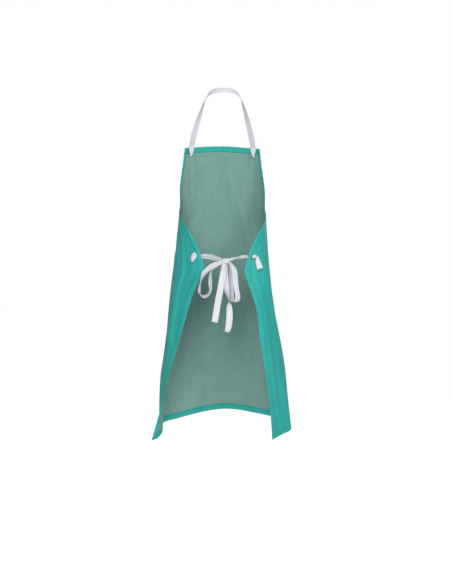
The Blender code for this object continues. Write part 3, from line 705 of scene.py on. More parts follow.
# Where a point of the smooth cloth hangs, read between the sections.
def hungPoint(across, up):
    across, up = np.broadcast_arrays(np.asarray(across, float), np.asarray(up, float))
    place = np.zeros(across.shape + (3,))
    for side in (left, right):
        here = across >= 0 if side == left else across < 0
        if not here.any():
            continue
        a, u = across[here], up[here]
        height = level(a, u, side)
        heights, table = sections[side]
        row = np.clip((height - heights[0]) / (heights[1] - heights[0]), 0, len(heights) - lastCell)
        column = np.minimum(np.abs(a) / apron["halfWidth"], 1.0) * (apron["runSteps"] - lastCell)
        r, c = row.astype(int), column.astype(int)
        fr, fc = (row - r)[:, None], (column - c)[:, None]
        xy = ((1 - fr) * ((1 - fc) * table[r, c] + fc * table[r, c + 1])
              + fr * ((1 - fc) * table[r + 1, c] + fc * table[r + 1, c + 1]))
        place[here] = np.column_stack([xy, height])
    return place


# The cloth's slow unevenness, and the puckers that each sewn hem draws up.
def ripple(across, up):
    depth = np.zeros_like(across)
    for wide, tall, deep, start in waves["slow"]:
        depth += deep * np.sin(2 * math.pi * (across / wide + up / tall) + start)
    share, often, start = waves["hemUneven"]
    sway, swayOften = waves["hemSway"]
    sideRun = up - waves["armholeRun"] * np.minimum(np.abs(across) - apron["halfWidth"], 0)
    edges = ((edgeDistance(across, up), sideRun), (up, across), (apron["cutLength"] - up, across))
    for distance, along in edges:
        strength = waves["hemDepth"] * np.exp(-(distance / waves["hemReach"]) ** 2)
        uneven = 1 - share + share * np.sin(along * often + start)
        turn = 2 * math.pi * along / waves["hemPitch"] + sway * np.sin(along * swayOften)
        depth += strength * uneven * np.sin(turn)
    return depth


# How far the folds, creases and ripples lift the cloth outwards.
def foldDepth(across, up):
    depth = np.zeros_like(across)
    for side, topAcross, topUp, footAcross, footUp, deep, width in folds + creases:
        run, rise = topAcross - footAcross, topUp - footUp
        a, u = side * across - footAcross, up - footUp
        t = (a * run + u * rise) / (run * run + rise * rise)
        away = (a * rise - u * run) / math.hypot(run, rise)
        fading = smoothStep(t / foldFade) * smoothStep((1 - t) / foldFade)
        depth += deep * fading * np.exp(-(away / width) ** 2)
    return depth + ripple(across, up)


def bareNormal(across, up, step=0.003):
    along = hungPoint(across + step, up) - hungPoint(across - step, up)
    upward = hungPoint(across, up + step) - hungPoint(across, up - step)
    return unit(np.cross(along, upward))


def foldedPoint(across, up):
    return hungPoint(across, up) + bareNormal(across, up) * foldDepth(across, up)[..., None]


# Place, outward normal and leftward direction on the folded cloth.
def clothAt(across, up, step=0.0015):
    across, up = np.broadcast_arrays(np.asarray(across, float), np.asarray(up, float))
    along = foldedPoint(across + step, up) - foldedPoint(across - step, up)
    upward = foldedPoint(across, up + step) - foldedPoint(across, up - step)
    return foldedPoint(across, up), unit(np.cross(along, upward)), unit(along)


print("cloth hung")


# The panel is one sheet, with its hems turned in round every edge

panel = {
    "thickness": 0.00045,
    "gap": 0.00015,  # between the layers of a hem
    "outside": 0.0006,  # from the middle of the solid's wall to the outer face
    "columns": 70,
    "crowding": 0.45,  # draws the columns towards the edge, where the creases are finest
    "skirtRows": 104,
    "armholeRows": 60,
    "bibRows": 27,
    "armholeTop": 0.705,
    "slopeStep": 0.001,
    # where a hem has points, as shares of its width, closest where the stitches sink in
    "hemShares": [1.30, 1.16, 1.06, 1.0, 0.94, 0.91, 0.878, 0.85, 0.82, 0.70, 0.50, 0.30, 0.14, 0.05],
    "foldSteps": [(0.012, 0.12), (0.0, 0.5), (0.012, 0.88)],  # share of the width, of the turn
    "foldRadius": 0.0005,
    "mitre": 0.055,  # how far up the armhole its hem narrows
    # where an end hem rides up over a side hem, in widths of the side hem
    "overStart": 1.25,
    "overRise": 0.5,
    "stitchInset": 0.0022,
    "stitchSink": 0.00022,
    "grooveWidth": 0.0011,
    "fillWidth": 0.003,
    "fillShare": 0.8,
    "holes": {"waistL": (0.345, 0.563), "waistR": (-0.345, 0.572),
              "bibL": (0.116, 0.833), "bibR": (-0.116, 0.833)},
    "holeRadius": 0.0038,
    "cutShare": 0.55,  # of the radius: points nearer the middle are cut away
    "areaRows": 400,
}
doubledCloth = 2 * panel["thickness"] + panel["gap"]


# Places across one hem, from deep in the panel round the fold to the turned edge, as the
# share of the hem's width and how far the cloth is turned there.
def hemSteps():
    flat = [(share, 0.0) for share in panel["hemShares"]]
    turned = [(share, 1.0) for share in reversed(panel["hemShares"]) if share <= 1]
    return flat + panel["foldSteps"] + turned


def hemWidth(up):
    blend = smoothStep((up - apron["sideLength"]) / panel["mitre"])
    return apron["sideHem"] + (apron["armholeHem"] - apron["sideHem"]) * blend


# Cut positions of the panel's grid, with how far each is turned in at the sides and ends.
def panelGrid():
    steps, hem, length = hemSteps(), apron["sideHem"], apron["cutLength"]
    corner, top, deepest = apron["sideLength"], panel["armholeTop"], steps[0][0]
    middle = np.concatenate([
        np.linspace(deepest * hem, corner, panel["skirtRows"])[1:],
        np.linspace(corner, top, panel["armholeRows"])[1:],
        np.linspace(top, length - deepest * hem, panel["bibRows"])[1:-1]])
    rows = [(share * hem, turn) for share, turn in reversed(steps)]
    rows += [(up, 0.0) for up in middle]
    rows += [(length - share * hem, turn) for share, turn in steps]
    spread = np.linspace(0, 1, panel["columns"])[1:-1]
    spread = spread + panel["crowding"] / math.pi * np.sin(math.pi * spread)
    across = []
    for up, _ in rows:
        stretch = math.hypot(1.0, edgeSlope(up, panel["slopeStep"])) if up > corner else 1.0
        edge, width = halfWidth(up), hemWidth(up) * stretch
        half = list((edge - deepest * width) * spread)
        half += [edge - share * width for share, _ in steps]
        across.append([-x for x in reversed(half)] + [0.0] + half)
    turns = [0.0] * len(spread) + [turn for _, turn in steps]
    up, turnEnd = np.array(rows).T[:, :, None]
    return np.broadcast_arrays(np.array(across), up, np.array(turns[::-1] + [0.0] + turns), turnEnd)


# How far a point lies below the outer face. At a corner the end hem rides over the side hem.
def turnedDepth(hem, fromSide, turnSide, turnEnd):
    thick, gap = panel["thickness"], panel["gap"]
    over = smoothStep((panel["overStart"] * hem - fromSide) / (panel["overRise"] * hem)) * (1 - turnSide)
    endDepth = doubledCloth + over * (2 * thick + 2 * gap) - turnSide * (2 * thick)
    return turnSide * doubledCloth + turnEnd * endDepth


# The row of stitches sinks in, and the turned edge fills out beside it.
def stitchRelief(distance, width):
    line, fill = width - panel["stitchInset"], panel["fillWidth"]
    groove = np.exp(-((distance - line) / panel["grooveWidth"]) ** 2)
    filled = smoothStep(distance / fill) * smoothStep((line - distance) / fill)
    return panel["stitchSink"] * (panel["fillShare"] * filled - groove)


# Moves the points round each hole out to its rim. Gives back which points stay.
def cutHoles(points, across, up, single):
    keep = np.ones(across.shape, dtype=bool)
    radius = panel["holeRadius"]
    for holeAcross, holeUp in panel["holes"].values():
        dx, dy = across - holeAcross, up - holeUp
        away = np.hypot(dx, dy)
        inside = (away < radius) & single
        keep &= ~(inside & (away < panel["cutShare"] * radius))
        push = inside & keep
        scale = radius / away[push]
        moved, normal, _ = clothAt(holeAcross + dx[push] * scale, holeUp + dy[push] * scale)
        points[push] = moved + normal * panel["outside"]
    return keep


# The faces of a grid whose four corners all stay.
def gridFaces(keep):
    index = np.arange(keep.size).reshape(keep.shape)
    corners = [index[:-1, :-1], index[:-1, 1:], index[1:, 1:], index[1:, :-1]]
    corners = np.stack(corners, axis=-1).reshape(-1, 4)
    return corners[keep.ravel()[corners].all(axis=1)]


# Each point's place on the cut laid flat, and how far it is from the edge and from the stitches.
def panelUvs(across, up, turnSide, turnEnd, hem, fromSide, fromEnd):
    length, inset = apron["cutLength"], panel["stitchInset"]
    flatAcross = across + 2 * np.sign(across) * fromSide * (turnSide > 0.5)
    flatUp = np.where(turnEnd > 0.5, np.where(up < length / 2, -up, 2 * length - up), up)
    seam = np.minimum(np.abs(fromSide - hem + inset), np.abs(fromEnd - apron["sideHem"] + inset))
    cut = np.stack([flatAcross, flatUp], axis=-1)
    edge = np.stack([np.minimum(fromSide, fromEnd), seam], axis=-1)
    return [("cut", cut.reshape(-1, 2)), ("edge", edge.reshape(-1, 2))]


def dropLoosePoints(mesh):
    cleaned = bmesh.new()
    cleaned.from_mesh(mesh)
    bmesh.ops.delete(cleaned, geom=[v for v in cleaned.verts if not v.link_faces], context="VERTS")
    cleaned.to_mesh(mesh)
    cleaned.free()


def buildPanel():
    across, up, turnSide, turnEnd = panelGrid()
    place, normal, leftward = clothAt(across, up)
    hem, fromSide = hemWidth(up), edgeDistance(across, up)
    fromEnd = np.minimum(up, apron["cutLength"] - up)
    depth = turnedDepth(hem, fromSide, turnSide, turnEnd)
    flip = (1 - 2 * turnSide) * (1 - 2 * turnEnd)
    relief = stitchRelief(fromSide, hem) + stitchRelief(fromEnd, apron["sideHem"])
    sideFold = panel["foldRadius"] * np.sin(math.pi * turnSide) * (1 - turnEnd) * np.sign(across)
    outwards = np.where(up < apron["cutLength"] / 2, -1.0, 1.0)
    endFold = panel["foldRadius"] * np.sin(math.pi * turnEnd) * outwards
    points = (place + normal * (panel["outside"] - depth + relief * flip)[..., None]
              + leftward * sideFold[..., None] + np.cross(normal, leftward) * endFold[..., None])
    keep = cutHoles(points, across, up, (turnSide == 0) & (turnEnd == 0))
    uvs = panelUvs(across, up, turnSide, turnEnd, hem, fromSide, fromEnd)
    made = makePiece("apronCloth", points.reshape(-1, 3), gridFaces(keep), uvs,
                     [finishes["outer"], finishes["inner"]])
    dropLoosePoints(made.data)
    wall = made.modifiers.new("wall", "SOLIDIFY")
    wall.thickness = panel["thickness"]
    wall.offset = -1.0
    wall.material_offset = 1
    wall.material_offset_rim = 0
    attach(made, "root")
    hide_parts("apron_panel", "hem_bottom", "hem_bib_top", "hem_side_L", "hem_side_R",
                "hem_armhole_L", "hem_armhole_R")
    return made


# The width of the cut, with its hems laid open, at rows up its length; the widths are not kept.
def declareCloth(cloth, *sewnOn):
    up = np.linspace(0, apron["cutLength"], panel["areaRows"])
    wide = 2 * (halfWidth(up) + hemWidth(up))


apronCloth = buildPanel()
print("panel sewn", len(apronCloth.data.polygons), "faces a side")


# Top stitching along every hem, seen on both faces

sewing = {
    "pitch": 0.0032,
    "length": 0.0025,
    "radius": 0.00019,
    "sides": 5,
    # rings along a stitch: share of its length, then height and radius in radiuses of the thread
    "rings": [(-0.5, -1.3, 0.45), (-0.36, 0.1, 0.9), (0.0, 0.5, 1.0), (0.36, 0.1, 0.9), (0.5, -1.3, 0.45)],
    "lift": 0.00002,
    "endGap": 0.002,  # from the end of a row to the edge of the cloth
    "lineSteps": 900,
    "ahead": 0.001,  # how far ahead a stitch points
    "holeStitches": 30,
    "holeReach": 0.42,  # of a stitch's length, from a hole's rim to the stitches' middles
}


# Each hem's row of stitches as cut positions close together.
def stitchLines():
    inset, end, gap, steps = panel["stitchInset"], apron["sideHem"], sewing["endGap"], sewing["lineSteps"]
    lines = []
    for side in (left, right):
        up = gap + (apron["cutLength"] - 2 * gap) * np.linspace(0, 1, steps)
        distance = (hemWidth(up) - inset) * np.hypot(1.0, edgeSlope(up))
        lines.append((side * (halfWidth(up) - distance), up))
    for up in (end - inset, apron["cutLength"] - end + inset):
        reach = float(halfWidth(np.array(up))) - gap
        lines.append((np.linspace(-reach, reach, steps), np.full(steps, up)))
    return lines


# Short rounded threads, with both ends sunk in the cloth.
def stitchMesh(middles, tangents, normals):
    sides, rings = sewing["sides"], sewing["rings"]
    sideways = np.cross(normals, tangents)
    points = []
    for share, height, thick in rings:
        radius = thick * sewing["radius"]
        ring = middles + tangents * share * sewing["length"] + normals * (height * sewing["radius"])
        for k in range(sides):
            angle = 2 * math.pi * k / sides
            points.append(ring + radius * (math.cos(angle) * normals + math.sin(angle) * sideways))
    points = np.array(points).transpose(1, 0, 2).reshape(-1, 3)
    faces = []
    for n in range(len(middles)):
        tube, near, far = tubeFaces(len(rings), sides, n * len(rings) * sides)
        faces += tube + [near, far]
    return points, faces


# Rows of stitches, each given as middles, directions and the way that they face, in one piece.
def sewnPiece(name, rows):
    allPoints, allFaces, start = [], [], 0
    for middles, tangents, facing in rows:
        points, faces = stitchMesh(middles, tangents, facing)
        allPoints.append(points)
        allFaces += [[i + start for i in face] for face in faces]
        start += len(points)
    made = makePiece(name, np.vstack(allPoints), allFaces, (), [finishes["thread"]])
    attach(made, "root")
    return made


def buildStitches():
    outer = panel["outside"] - panel["stitchSink"] + sewing["lift"]
    inner = outer - doubledCloth + 2 * panel["stitchSink"] - 2 * sewing["lift"]
    rows = []
    for across, up in stitchLines():
        place, normal, _ = clothAt(across, up)
        run = runAlong(place)
        at = (np.arange(int(run[-1] / sewing["pitch"])) + 0.5) * sewing["pitch"]
        middles = readAlong(at, run, place)
        tangents = unit(readAlong(at + sewing["ahead"], run, place) - middles)
        normals = unit(readAlong(at, run, normal))
        rows.append((middles + normals * outer, tangents, normals))
        rows.append((middles + normals * inner, tangents, -normals))
    return sewnPiece("hemStitching", rows)


# Each hole is oversewn: close stitches run out from its rim on both faces.
def buildHoleSewing():
    count = sewing["holeStitches"]
    angle = 2 * math.pi * np.arange(count) / count
    reach = panel["holeRadius"] + sewing["holeReach"] * sewing["length"]
    outer, inner = panel["outside"], panel["outside"] - panel["thickness"]
    rows = []
    for across, up in panel["holes"].values():
        place, normal, _ = clothAt(across + reach * np.cos(angle), up + reach * np.sin(angle))
        centre, _, _ = clothAt(np.array([across]), np.array([up]))
        tangents = squareTo(place - centre, normal)
        rows.append((place + normal * outer, tangents, normal))
        rows.append((place + normal * inner, tangents, -normal))
    return sewnPiece("holeSewing", rows)


hemStitching = buildStitches()
holeSewing = buildHoleSewing()
declareCloth(apronCloth, hemStitching, holeSewing)
print("hems stitched", len(hemStitching.data.polygons), "faces")


# Woven tape. A tape's station is its middle, the direction of its width, and its width there,
# less than the whole where it is bunched into pleats.

tape = {
    "width": tapeLook["width"],
    "thickness": 0.0010,
    "pointsAcross": 15,
    "step": 0.0022,
    "stationSteps": 40,
    "cup": 0.0006,
    "cupLevel": 0.4,  # share of the cup that lies below the middle
    "pleatRise": 0.125,  # of the width lost
    "pleatMost": 0.0016,
    "pleatWobble": (0.25, 190.0),  # share of the height, radians a metre
    "pleatSway": (0.5, 120.0),  # shift in radians, radians a metre
    "selvedgePower": 10,
    "selvedgeLeast": 0.06,
    "drawnThin": 0.35,  # share of the thickness lost where the tape is drawn up
}


# Even steps along a smooth line through the stations.
def runThrough(stations):
    table = np.array([[i, *place, *across, width] for i, (place, across, width) in enumerate(stations)])
    steps = np.linspace(0, len(stations) - 1, len(stations) * tape["stationSteps"])
    fine = curveThrough(table, steps)[:, 1:]
    run = runAlong(fine[:, :3])
    at = np.linspace(0, run[-1], int(run[-1] / tape["step"]) + 1)
    even = readAlong(at, run, fine)
    return at, even[:, :3], even[:, 3:6], even[:, 6]


# A tape across its width at each step: how far it lies off its middle line, and half its
# thickness. Where it narrows it gathers into pleats.
def tapeSection(at, widths, s, twist):
    lost = np.sqrt(np.clip(tape["width"] ** 2 - widths ** 2, 0, None))
    drawn = (lost / tape["width"])[:, None]
    wobble, wobbleOften = tape["pleatWobble"]
    sway, swayOften = tape["pleatSway"]
    pleat = np.minimum(lost * tape["pleatRise"], tape["pleatMost"])
    pleat = pleat * (1 + wobble * np.sin(at * wobbleOften + twist))
    lift = pleat[:, None] * np.cos(2 * math.pi * s + sway * np.sin(at * swayOften + twist)[:, None])
    lift += tape["cup"] * (s ** 2 - tape["cupLevel"])[None, :] * (1 - drawn)
    edge = np.sqrt(np.clip(1 - np.abs(s) ** tape["selvedgePower"], tape["selvedgeLeast"], 1))[None, :]
    return lift, tape["thickness"] / 2 * edge * (1 - tape["drawnThin"] * drawn)


# A closed woven strip with soft selvedges, and its length.
def ribbon(name, stations, twist=0.0):
    at, middles, across, widths = runThrough(stations)
    tangents = unit(np.gradient(middles, axis=0))
    across = squareTo(across, tangents)
    facing = np.cross(tangents, across)
    s = np.linspace(-1, 1, tape["pointsAcross"])
    lift, half = tapeSection(at, widths, s, twist)
    sideways = (widths / 2)[:, None] * s[None, :]
    tilt = np.arctan(np.gradient(lift, axis=1) / np.gradient(sideways, axis=1))
    skins = []
    for sign, order in ((1, slice(None)), (-1, slice(None, None, -1))):
        x = sideways - sign * half * np.sin(tilt)
        z = lift + sign * half * np.cos(tilt)
        skin = middles[:, None] + across[:, None] * x[..., None] + facing[:, None] * z[..., None]
        skins.append(skin[:, order])
    points = np.concatenate(skins, axis=1)
    count, ring = points.shape[:2]
    tube, near, far = tubeFaces(count, ring)
    v = tape["width"] / 2 * np.concatenate([s, s[::-1]])
    uv = np.stack([np.repeat(at[:, None], ring, 1), np.repeat(v[None, :], count, 0)], axis=-1)
    made = makePiece(name, points.reshape(-1, 3), tube + [near, far], [("run", uv.reshape(-1, 2))],
                     [finishes["tape"]])
    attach(made, "root")
    return made, at[-1]


frays = {
    "count": 26,
    "length": (0.0008, 0.0026),
    "radius": 0.00014,
    "corners": 4,
    "rings": [(-0.4, 1), (0.3, 1), (0.7, 0.8), (1.0, 0.4)],  # share of the length, of the radius
    "spread": 0.94,  # of the tape's width
    "scatter": 0.3,  # of the tape's thickness
    # most that a thread leans and bends across the tape and out of it, in thread lengths
    "lean": (0.35, 0.4),
    "bend": (0.4, 0.4),
}


# Loose threads at the cut end of a tape, each with its own length, lean and bend.
def frayedEnd(name, tapePiece, stations, seed):
    _, middles, across, widths = runThrough(stations)
    ahead = unit(middles[-1] - middles[-3])
    wide = squareTo(across[-1], ahead)
    facing = np.cross(ahead, wide)
    random = np.random.default_rng(seed)

    def strayed(most):
        return wide * random.uniform(-most[0], most[0]) + facing * random.uniform(-most[1], most[1])

    points, faces, corners = [], [], frays["corners"]
    for n in range(frays["count"]):
        share = (n + 0.5) / frays["count"] - 0.5
        scatter = random.uniform(-frays["scatter"], frays["scatter"]) * tape["thickness"]
        root = middles[-1] + wide * share * widths[-1] * frays["spread"] + facing * scatter
        lean = ahead + strayed(frays["lean"])
        bend = strayed(frays["bend"])
        length = random.uniform(*frays["length"])
        tube, _, far = tubeFaces(len(frays["rings"]), corners, len(points), clockwise=False)
        faces += tube + [far]
        for t, thick in frays["rings"]:
            middle = root + (lean * t + bend * max(t, 0) ** 2) * length
            for c in range(corners):
                angle = 2 * math.pi * c / corners
                spoke = math.cos(angle) * wide + math.sin(angle) * facing
                points.append(middle + thick * frays["radius"] * spoke)
    made = makePiece(name, points, faces, (), [finishes["tapeThread"]])
    made.parent = tapePiece
    return made


# Place, outward normal and leftward direction, smoothed over the cloth's finer creases.
def broadCloth(across, up, reach=0.012):
    steps = reach * np.array([-1, -0.5, 0, 0.5, 1])
    place, normal, leftward = clothAt(across + steps[None, :], up + steps[:, None])
    return place[2, 2], unit(normal.mean(axis=(0, 1))), unit(leftward.mean(axis=(0, 1)))


# Stations near a hole: across and up from it, off the cloth, lean of the width, width, and
# how far the width swings out of the cloth.
def stationsOnCloth(hole, side, steps):
    found = []
    for stepAcross, stepUp, off, lean, width, *swing in steps:
        place, normal, leftward = broadCloth(hole[0] + side * stepAcross, hole[1] + stepUp)
        lean = math.radians(lean)
        direction = leftward * (side * math.cos(lean)) + np.cross(normal, leftward) * math.sin(lean)
        direction = direction + normal * (swing[0] if swing else 0.0)
        found.append((tuple(place + normal * off), tuple(direction), width))
    return found


neck = {
    # the left half, from the middle of the loop down to above the bib
    "half": [((0.000, 0.0006, 0.000), (0.00, -0.50, 0.86), 0.019),
             ((0.023, -0.003, -0.001), (-0.05, -0.53, 0.84), 0.019),
             ((0.042, -0.015, -0.007), (-0.12, -0.64, 0.76), 0.019),
             ((0.056, -0.036, -0.021), (-0.25, -0.74, 0.62), 0.019),
             ((0.068, -0.066, -0.046), (-0.52, -0.74, 0.38), 0.019),
             ((0.081, -0.096, -0.080), (-0.78, -0.55, 0.15), 0.019),
             ((0.094, -0.121, -0.118), (-0.88, -0.46, -0.05), 0.019)],
    "drift": {left: 0.0, right: -0.010},
    # across and up from the hole, off the cloth, lean, width
    "throughHole": [(0.0000, 0.0340, -0.0065, 180, 0.0190), (0.0000, 0.0220, -0.0055, 180, 0.0180),
                    (0.0000, 0.0090, -0.0050, 180, 0.0110), (0.0000, 0.0010, -0.0032, 180, 0.0055),
                    (0.0000, 0.0000, -0.0008, 180, 0.0055), (0.0000, 0.0000, 0.0045, 180, 0.0055)],
}


def buildNeckTape():
    halves = {}
    for side, letter in bothSides:
        drift = neck["drift"][side]
        shoulder = []
        for (x, y, z), (a, b, c), width in neck["half"][1:]:
            share = z / apron["bibHeight"]
            shoulder.append(((side * (x + drift * share), y, z), (side * a, b, c), width))
        halves[side] = shoulder + stationsOnCloth(panel["holes"]["bib" + letter], side, neck["throughHole"])
    made, length = ribbon("neckTape", [*reversed(halves[right]), neck["half"][0], *halves[left]])
    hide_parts("neck_tape")
    return made


ties = {
    "throughHole": [(0.0000, 0.0000, 0.0045, 90, 0.0055), (0.0000, 0.0000, -0.0008, 90, 0.0055),
                    (0.0010, 0.0005, -0.0032, 90, 0.0055), (0.0080, 0.0020, -0.0052, 90, 0.0075),
                    (0.0160, 0.0040, -0.0060, 90, 0.0090)],
    left: [((0.0600, 0.0225, -0.5065), (0.02, 0.40, 0.90), 0.015),
           ((0.0360, 0.0320, -0.5105), (0.12, 0.55, 0.82), 0.019),
           ((0.0120, 0.0355, -0.5170), (0.12, 0.55, 0.82), 0.015),
           ((-0.0020, 0.0365, -0.5210), (0.12, 0.55, 0.82), 0.007)],
    right: [((-0.0660, 0.0215, -0.5095), (-0.05, 0.60, 0.78), 0.010),
            ((-0.0460, 0.0300, -0.5130), (-0.10, 0.92, 0.38), 0.019),
            ((-0.0235, 0.0355, -0.5185), (-0.10, 0.88, 0.46), 0.014),
            ((-0.0110, 0.0360, -0.5215), (-0.10, 0.80, 0.60), 0.006)],
    "tail": [(-0.0020, 0.0005, 0.0055, 80, 0.0060), (-0.0072, -0.0010, 0.0062, 62, 0.0080, -0.05),
             (-0.0102, -0.0080, 0.0066, 28, 0.0115, -0.15), (-0.0122, -0.0210, 0.0074, 8, 0.0165, -0.38),
             (-0.0160, -0.0395, 0.0088, 14, 0.0190, -0.46)],
}


def buildTies():
    made = []
    for side, letter in bothSides:
        through = stationsOnCloth(panel["holes"]["waist" + letter], side, ties["throughHole"])
        tie, length = ribbon("waistTie" + letter, through + ties[side], twist=side)
        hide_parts("waist_tie_" + letter)
        made.append(tie)
    stations = stationsOnCloth(panel["holes"]["waistR"], right, ties["tail"])
    tail, length = ribbon("waistTailR", stations, twist=2.0)
    frayed = frayedEnd("waistTailFray", tail, stations, seed=3)
    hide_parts("waist_tail_R")
    return made + [tail]


bow = {
    "loopL": [((-0.0010, 0.0370, -0.5235), (0.40, 0.60, 0.69), 0.006),
              ((0.0120, 0.0440, -0.5300), (0.40, 0.60, 0.69), 0.013),
              ((0.0270, 0.0500, -0.5360), (0.38, 0.58, 0.72), 0.019),
              ((0.0430, 0.0535, -0.5450), (0.42, 0.60, 0.68), 0.019),
              ((0.0590, 0.0560, -0.5610), (0.45, 0.76, 0.46), 0.019),
              ((0.0680, 0.0570, -0.5860), (0.14, 0.98, 0.14), 0.019),
              ((0.0715, 0.0560, -0.6080), (0.36, 0.90, 0.25), 0.019),
              ((0.0695, 0.0540, -0.6215), (0.30, 0.83, 0.45), 0.019),
              ((0.0600, 0.0515, -0.6290), (0.12, 0.86, 0.48), 0.019),
              ((0.0480, 0.0480, -0.6265), (0.10, 0.88, 0.46), 0.019),
              ((0.0395, 0.0450, -0.6120), (0.38, 0.90, 0.22), 0.019),
              ((0.0400, 0.0400, -0.5900), (0.55, 0.83, 0.05), 0.019),
              ((0.0392, 0.0355, -0.5680), (0.42, 0.90, 0.05), 0.019),
              ((0.0325, 0.0325, -0.5470), (0.05, 0.97, 0.22), 0.019),
              ((0.0150, 0.0305, -0.5345), (0.10, 0.86, 0.50), 0.011),
              ((-0.0010, 0.0330, -0.5240), (0.30, 0.80, 0.50), 0.005)],
    "loopR": [((-0.0120, 0.0370, -0.5230), (0.55, 0.55, 0.62), 0.006),
              ((-0.0230, 0.0450, -0.5305), (0.65, 0.60, 0.45), 0.013),
              ((-0.0305, 0.0505, -0.5420), (0.75, 0.60, 0.25), 0.019),
              ((-0.0352, 0.0545, -0.5600), (0.80, 0.60, 0.06), 0.019),
              ((-0.0368, 0.0570, -0.5830), (0.80, 0.60, 0.00), 0.019),
              ((-0.0395, 0.0590, -0.6080), (0.80, 0.60, 0.00), 0.019),
              ((-0.0430, 0.0590, -0.6280), (0.80, 0.60, 0.00), 0.019),
              ((-0.0405, 0.0545, -0.6420), (0.80, 0.60, 0.06), 0.019),
              ((-0.0320, 0.0450, -0.6460), (0.76, 0.62, 0.10), 0.019),
              ((-0.0255, 0.0355, -0.6380), (0.80, 0.60, 0.02), 0.019),
              ((-0.0228, 0.0300, -0.6190), (0.80, 0.60, 0.00), 0.019),
              ((-0.0228, 0.0285, -0.5890), (0.74, 0.67, 0.00), 0.019),
              ((-0.0230, 0.0285, -0.5600), (0.58, 0.81, 0.00), 0.019),
              ((-0.0190, 0.0300, -0.5360), (0.58, 0.80, 0.10), 0.011),
              ((-0.0125, 0.0325, -0.5240), (0.80, 0.55, 0.10), 0.005)],
    "tailL": [((-0.0030, 0.0385, -0.5240), (0.98, 0.00, 0.10), 0.006),
              ((-0.0010, 0.0450, -0.5360), (0.98, 0.00, 0.10), 0.013),
              ((0.0015, 0.0480, -0.5650), (0.99, 0.02, 0.12), 0.019),
              ((0.0085, 0.0500, -0.6040), (0.98, 0.03, 0.17), 0.019),
              ((0.0165, 0.0505, -0.6460), (0.97, 0.06, 0.20), 0.019),
              ((0.0262, 0.0500, -0.7065), (0.98, 0.10, 0.16), 0.019)],
    "tailR": [((-0.0070, 0.0350, -0.5250), (0.95, -0.10, 0.00), 0.006),
              ((-0.0065, 0.0390, -0.5380), (0.95, -0.10, 0.00), 0.013),
              ((-0.0050, 0.0415, -0.5650), (0.97, -0.15, -0.06), 0.019),
              ((-0.0085, 0.0445, -0.6010), (0.90, -0.40, -0.12), 0.019),
              ((-0.0155, 0.0485, -0.6385), (0.12, -0.99, -0.10), 0.019),
              ((-0.0175, 0.0490, -0.6600), (-0.80, -0.60, 0.00), 0.019),
              ((-0.0183, 0.0490, -0.6850), (-0.98, -0.20, 0.00), 0.019),
              ((-0.0160, 0.0485, -0.7150), (-0.98, -0.10, 0.08), 0.019),
              ((-0.0105, 0.0475, -0.7360), (-0.95, -0.10, 0.28), 0.014)],
}


def buildBow():
    made = {}
    for part in ("loopL", "loopR", "tailL", "tailR"):
        kind, letter = part[:4], part[4]
        name = "bow" + kind.capitalize() + letter
        made[part], length = ribbon(name, bow[part], twist=len(made))
        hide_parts("bow_" + kind + "_" + letter)
        frayed = []
        if kind == "tail":
            frayed = [frayedEnd("bowFray" + letter, made[part], bow[part], seed=len(made))]
    return made


# Knots, each a drawn-up lump with the turns of its tape over it

knots = {
    # half sizes, taper of the foot, place across and up from its hole, and the turns of tape, each
    # with its tilt in degrees, place along the knot, half width and height
    "bow": {"half": (0.0140, 0.0075, 0.0085), "taper": 0.85, "centre": (-0.0066, 0.0360, -0.5225),
            "turns": [(62, 0.10, 0.30, 0.16), (100, 0.55, 0.20, 0.10), (95, -0.55, 0.20, 0.10)]},
    "waistL": {"half": (0.0095, 0.0060, 0.0160), "taper": 0.60, "place": (0.0020, -0.0045),
               "turns": [(28, 0.05, 0.34, 0.18), (-40, 0.62, 0.26, 0.12), (35, -0.62, 0.24, 0.12)]},
    "waistR": {"half": (0.0080, 0.0050, 0.0060), "taper": 0.90, "place": (0.0, 0.0),
               "turns": [(40, 0.0, 0.34, 0.16), (-35, 0.66, 0.2, 0.10)]},
    "bib": {"half": (0.0080, 0.0055, 0.0095), "taper": 0.80, "place": (0.0, 0.0),
            "turns": [(32, 0.0, 0.32, 0.16), (-38, 0.62, 0.22, 0.10)]},
}
knotForm = {
    "rings": 40,
    "around": 56,
    "pole": 0.02,  # radians from the ends to the first and last ring
    "squareness": (0.85, 0.80),  # powers, round the knot and along it
    "taperPower": 0.7,
    "turnEdge": 0.6,  # share of a turn's half width that its edge slopes over
    "turnRise": 0.25,  # how far up the slope a turn's edge starts
    "grooveWidth": 0.26,
    "grooveDepth": 0.5,
    "rimShare": 0.3,  # how much of the turns shows at the rim
    "crumple": (0.012, (16, 9), (-5, 21)),  # height, and two rows of waves across and up the knot
    "size": 0.93,  # leaves room for the turns inside the half sizes
    "weaveLean": 0.4,
    "wall": 0.0008,  # from the middle of the solid's wall to its outer face
    "clear": 0.0003,
}


def signedPower(value, power):
    return np.sign(value) * np.abs(value) ** power


# How much the turns of tape swell a knot, with a groove along both sides of each.
def turnSwell(x, y, z, turns, mirror):
    swell = np.ones_like(x)
    for tilt, at, wide, high in turns:
        tilt = math.radians(mirror * tilt)
        d = x * math.sin(tilt) + z * math.cos(tilt) - at
        band = smoothStep((wide - np.abs(d)) / (knotForm["turnEdge"] * wide) + knotForm["turnRise"])
        edge = np.exp(-((np.abs(d) - wide) / (knotForm["grooveWidth"] * wide)) ** 2)
        swell += high * band - knotForm["grooveDepth"] * high * edge
    rim = knotForm["rimShare"]
    return 1 + (swell - 1) * (rim + (1 - rim) * np.abs(y))


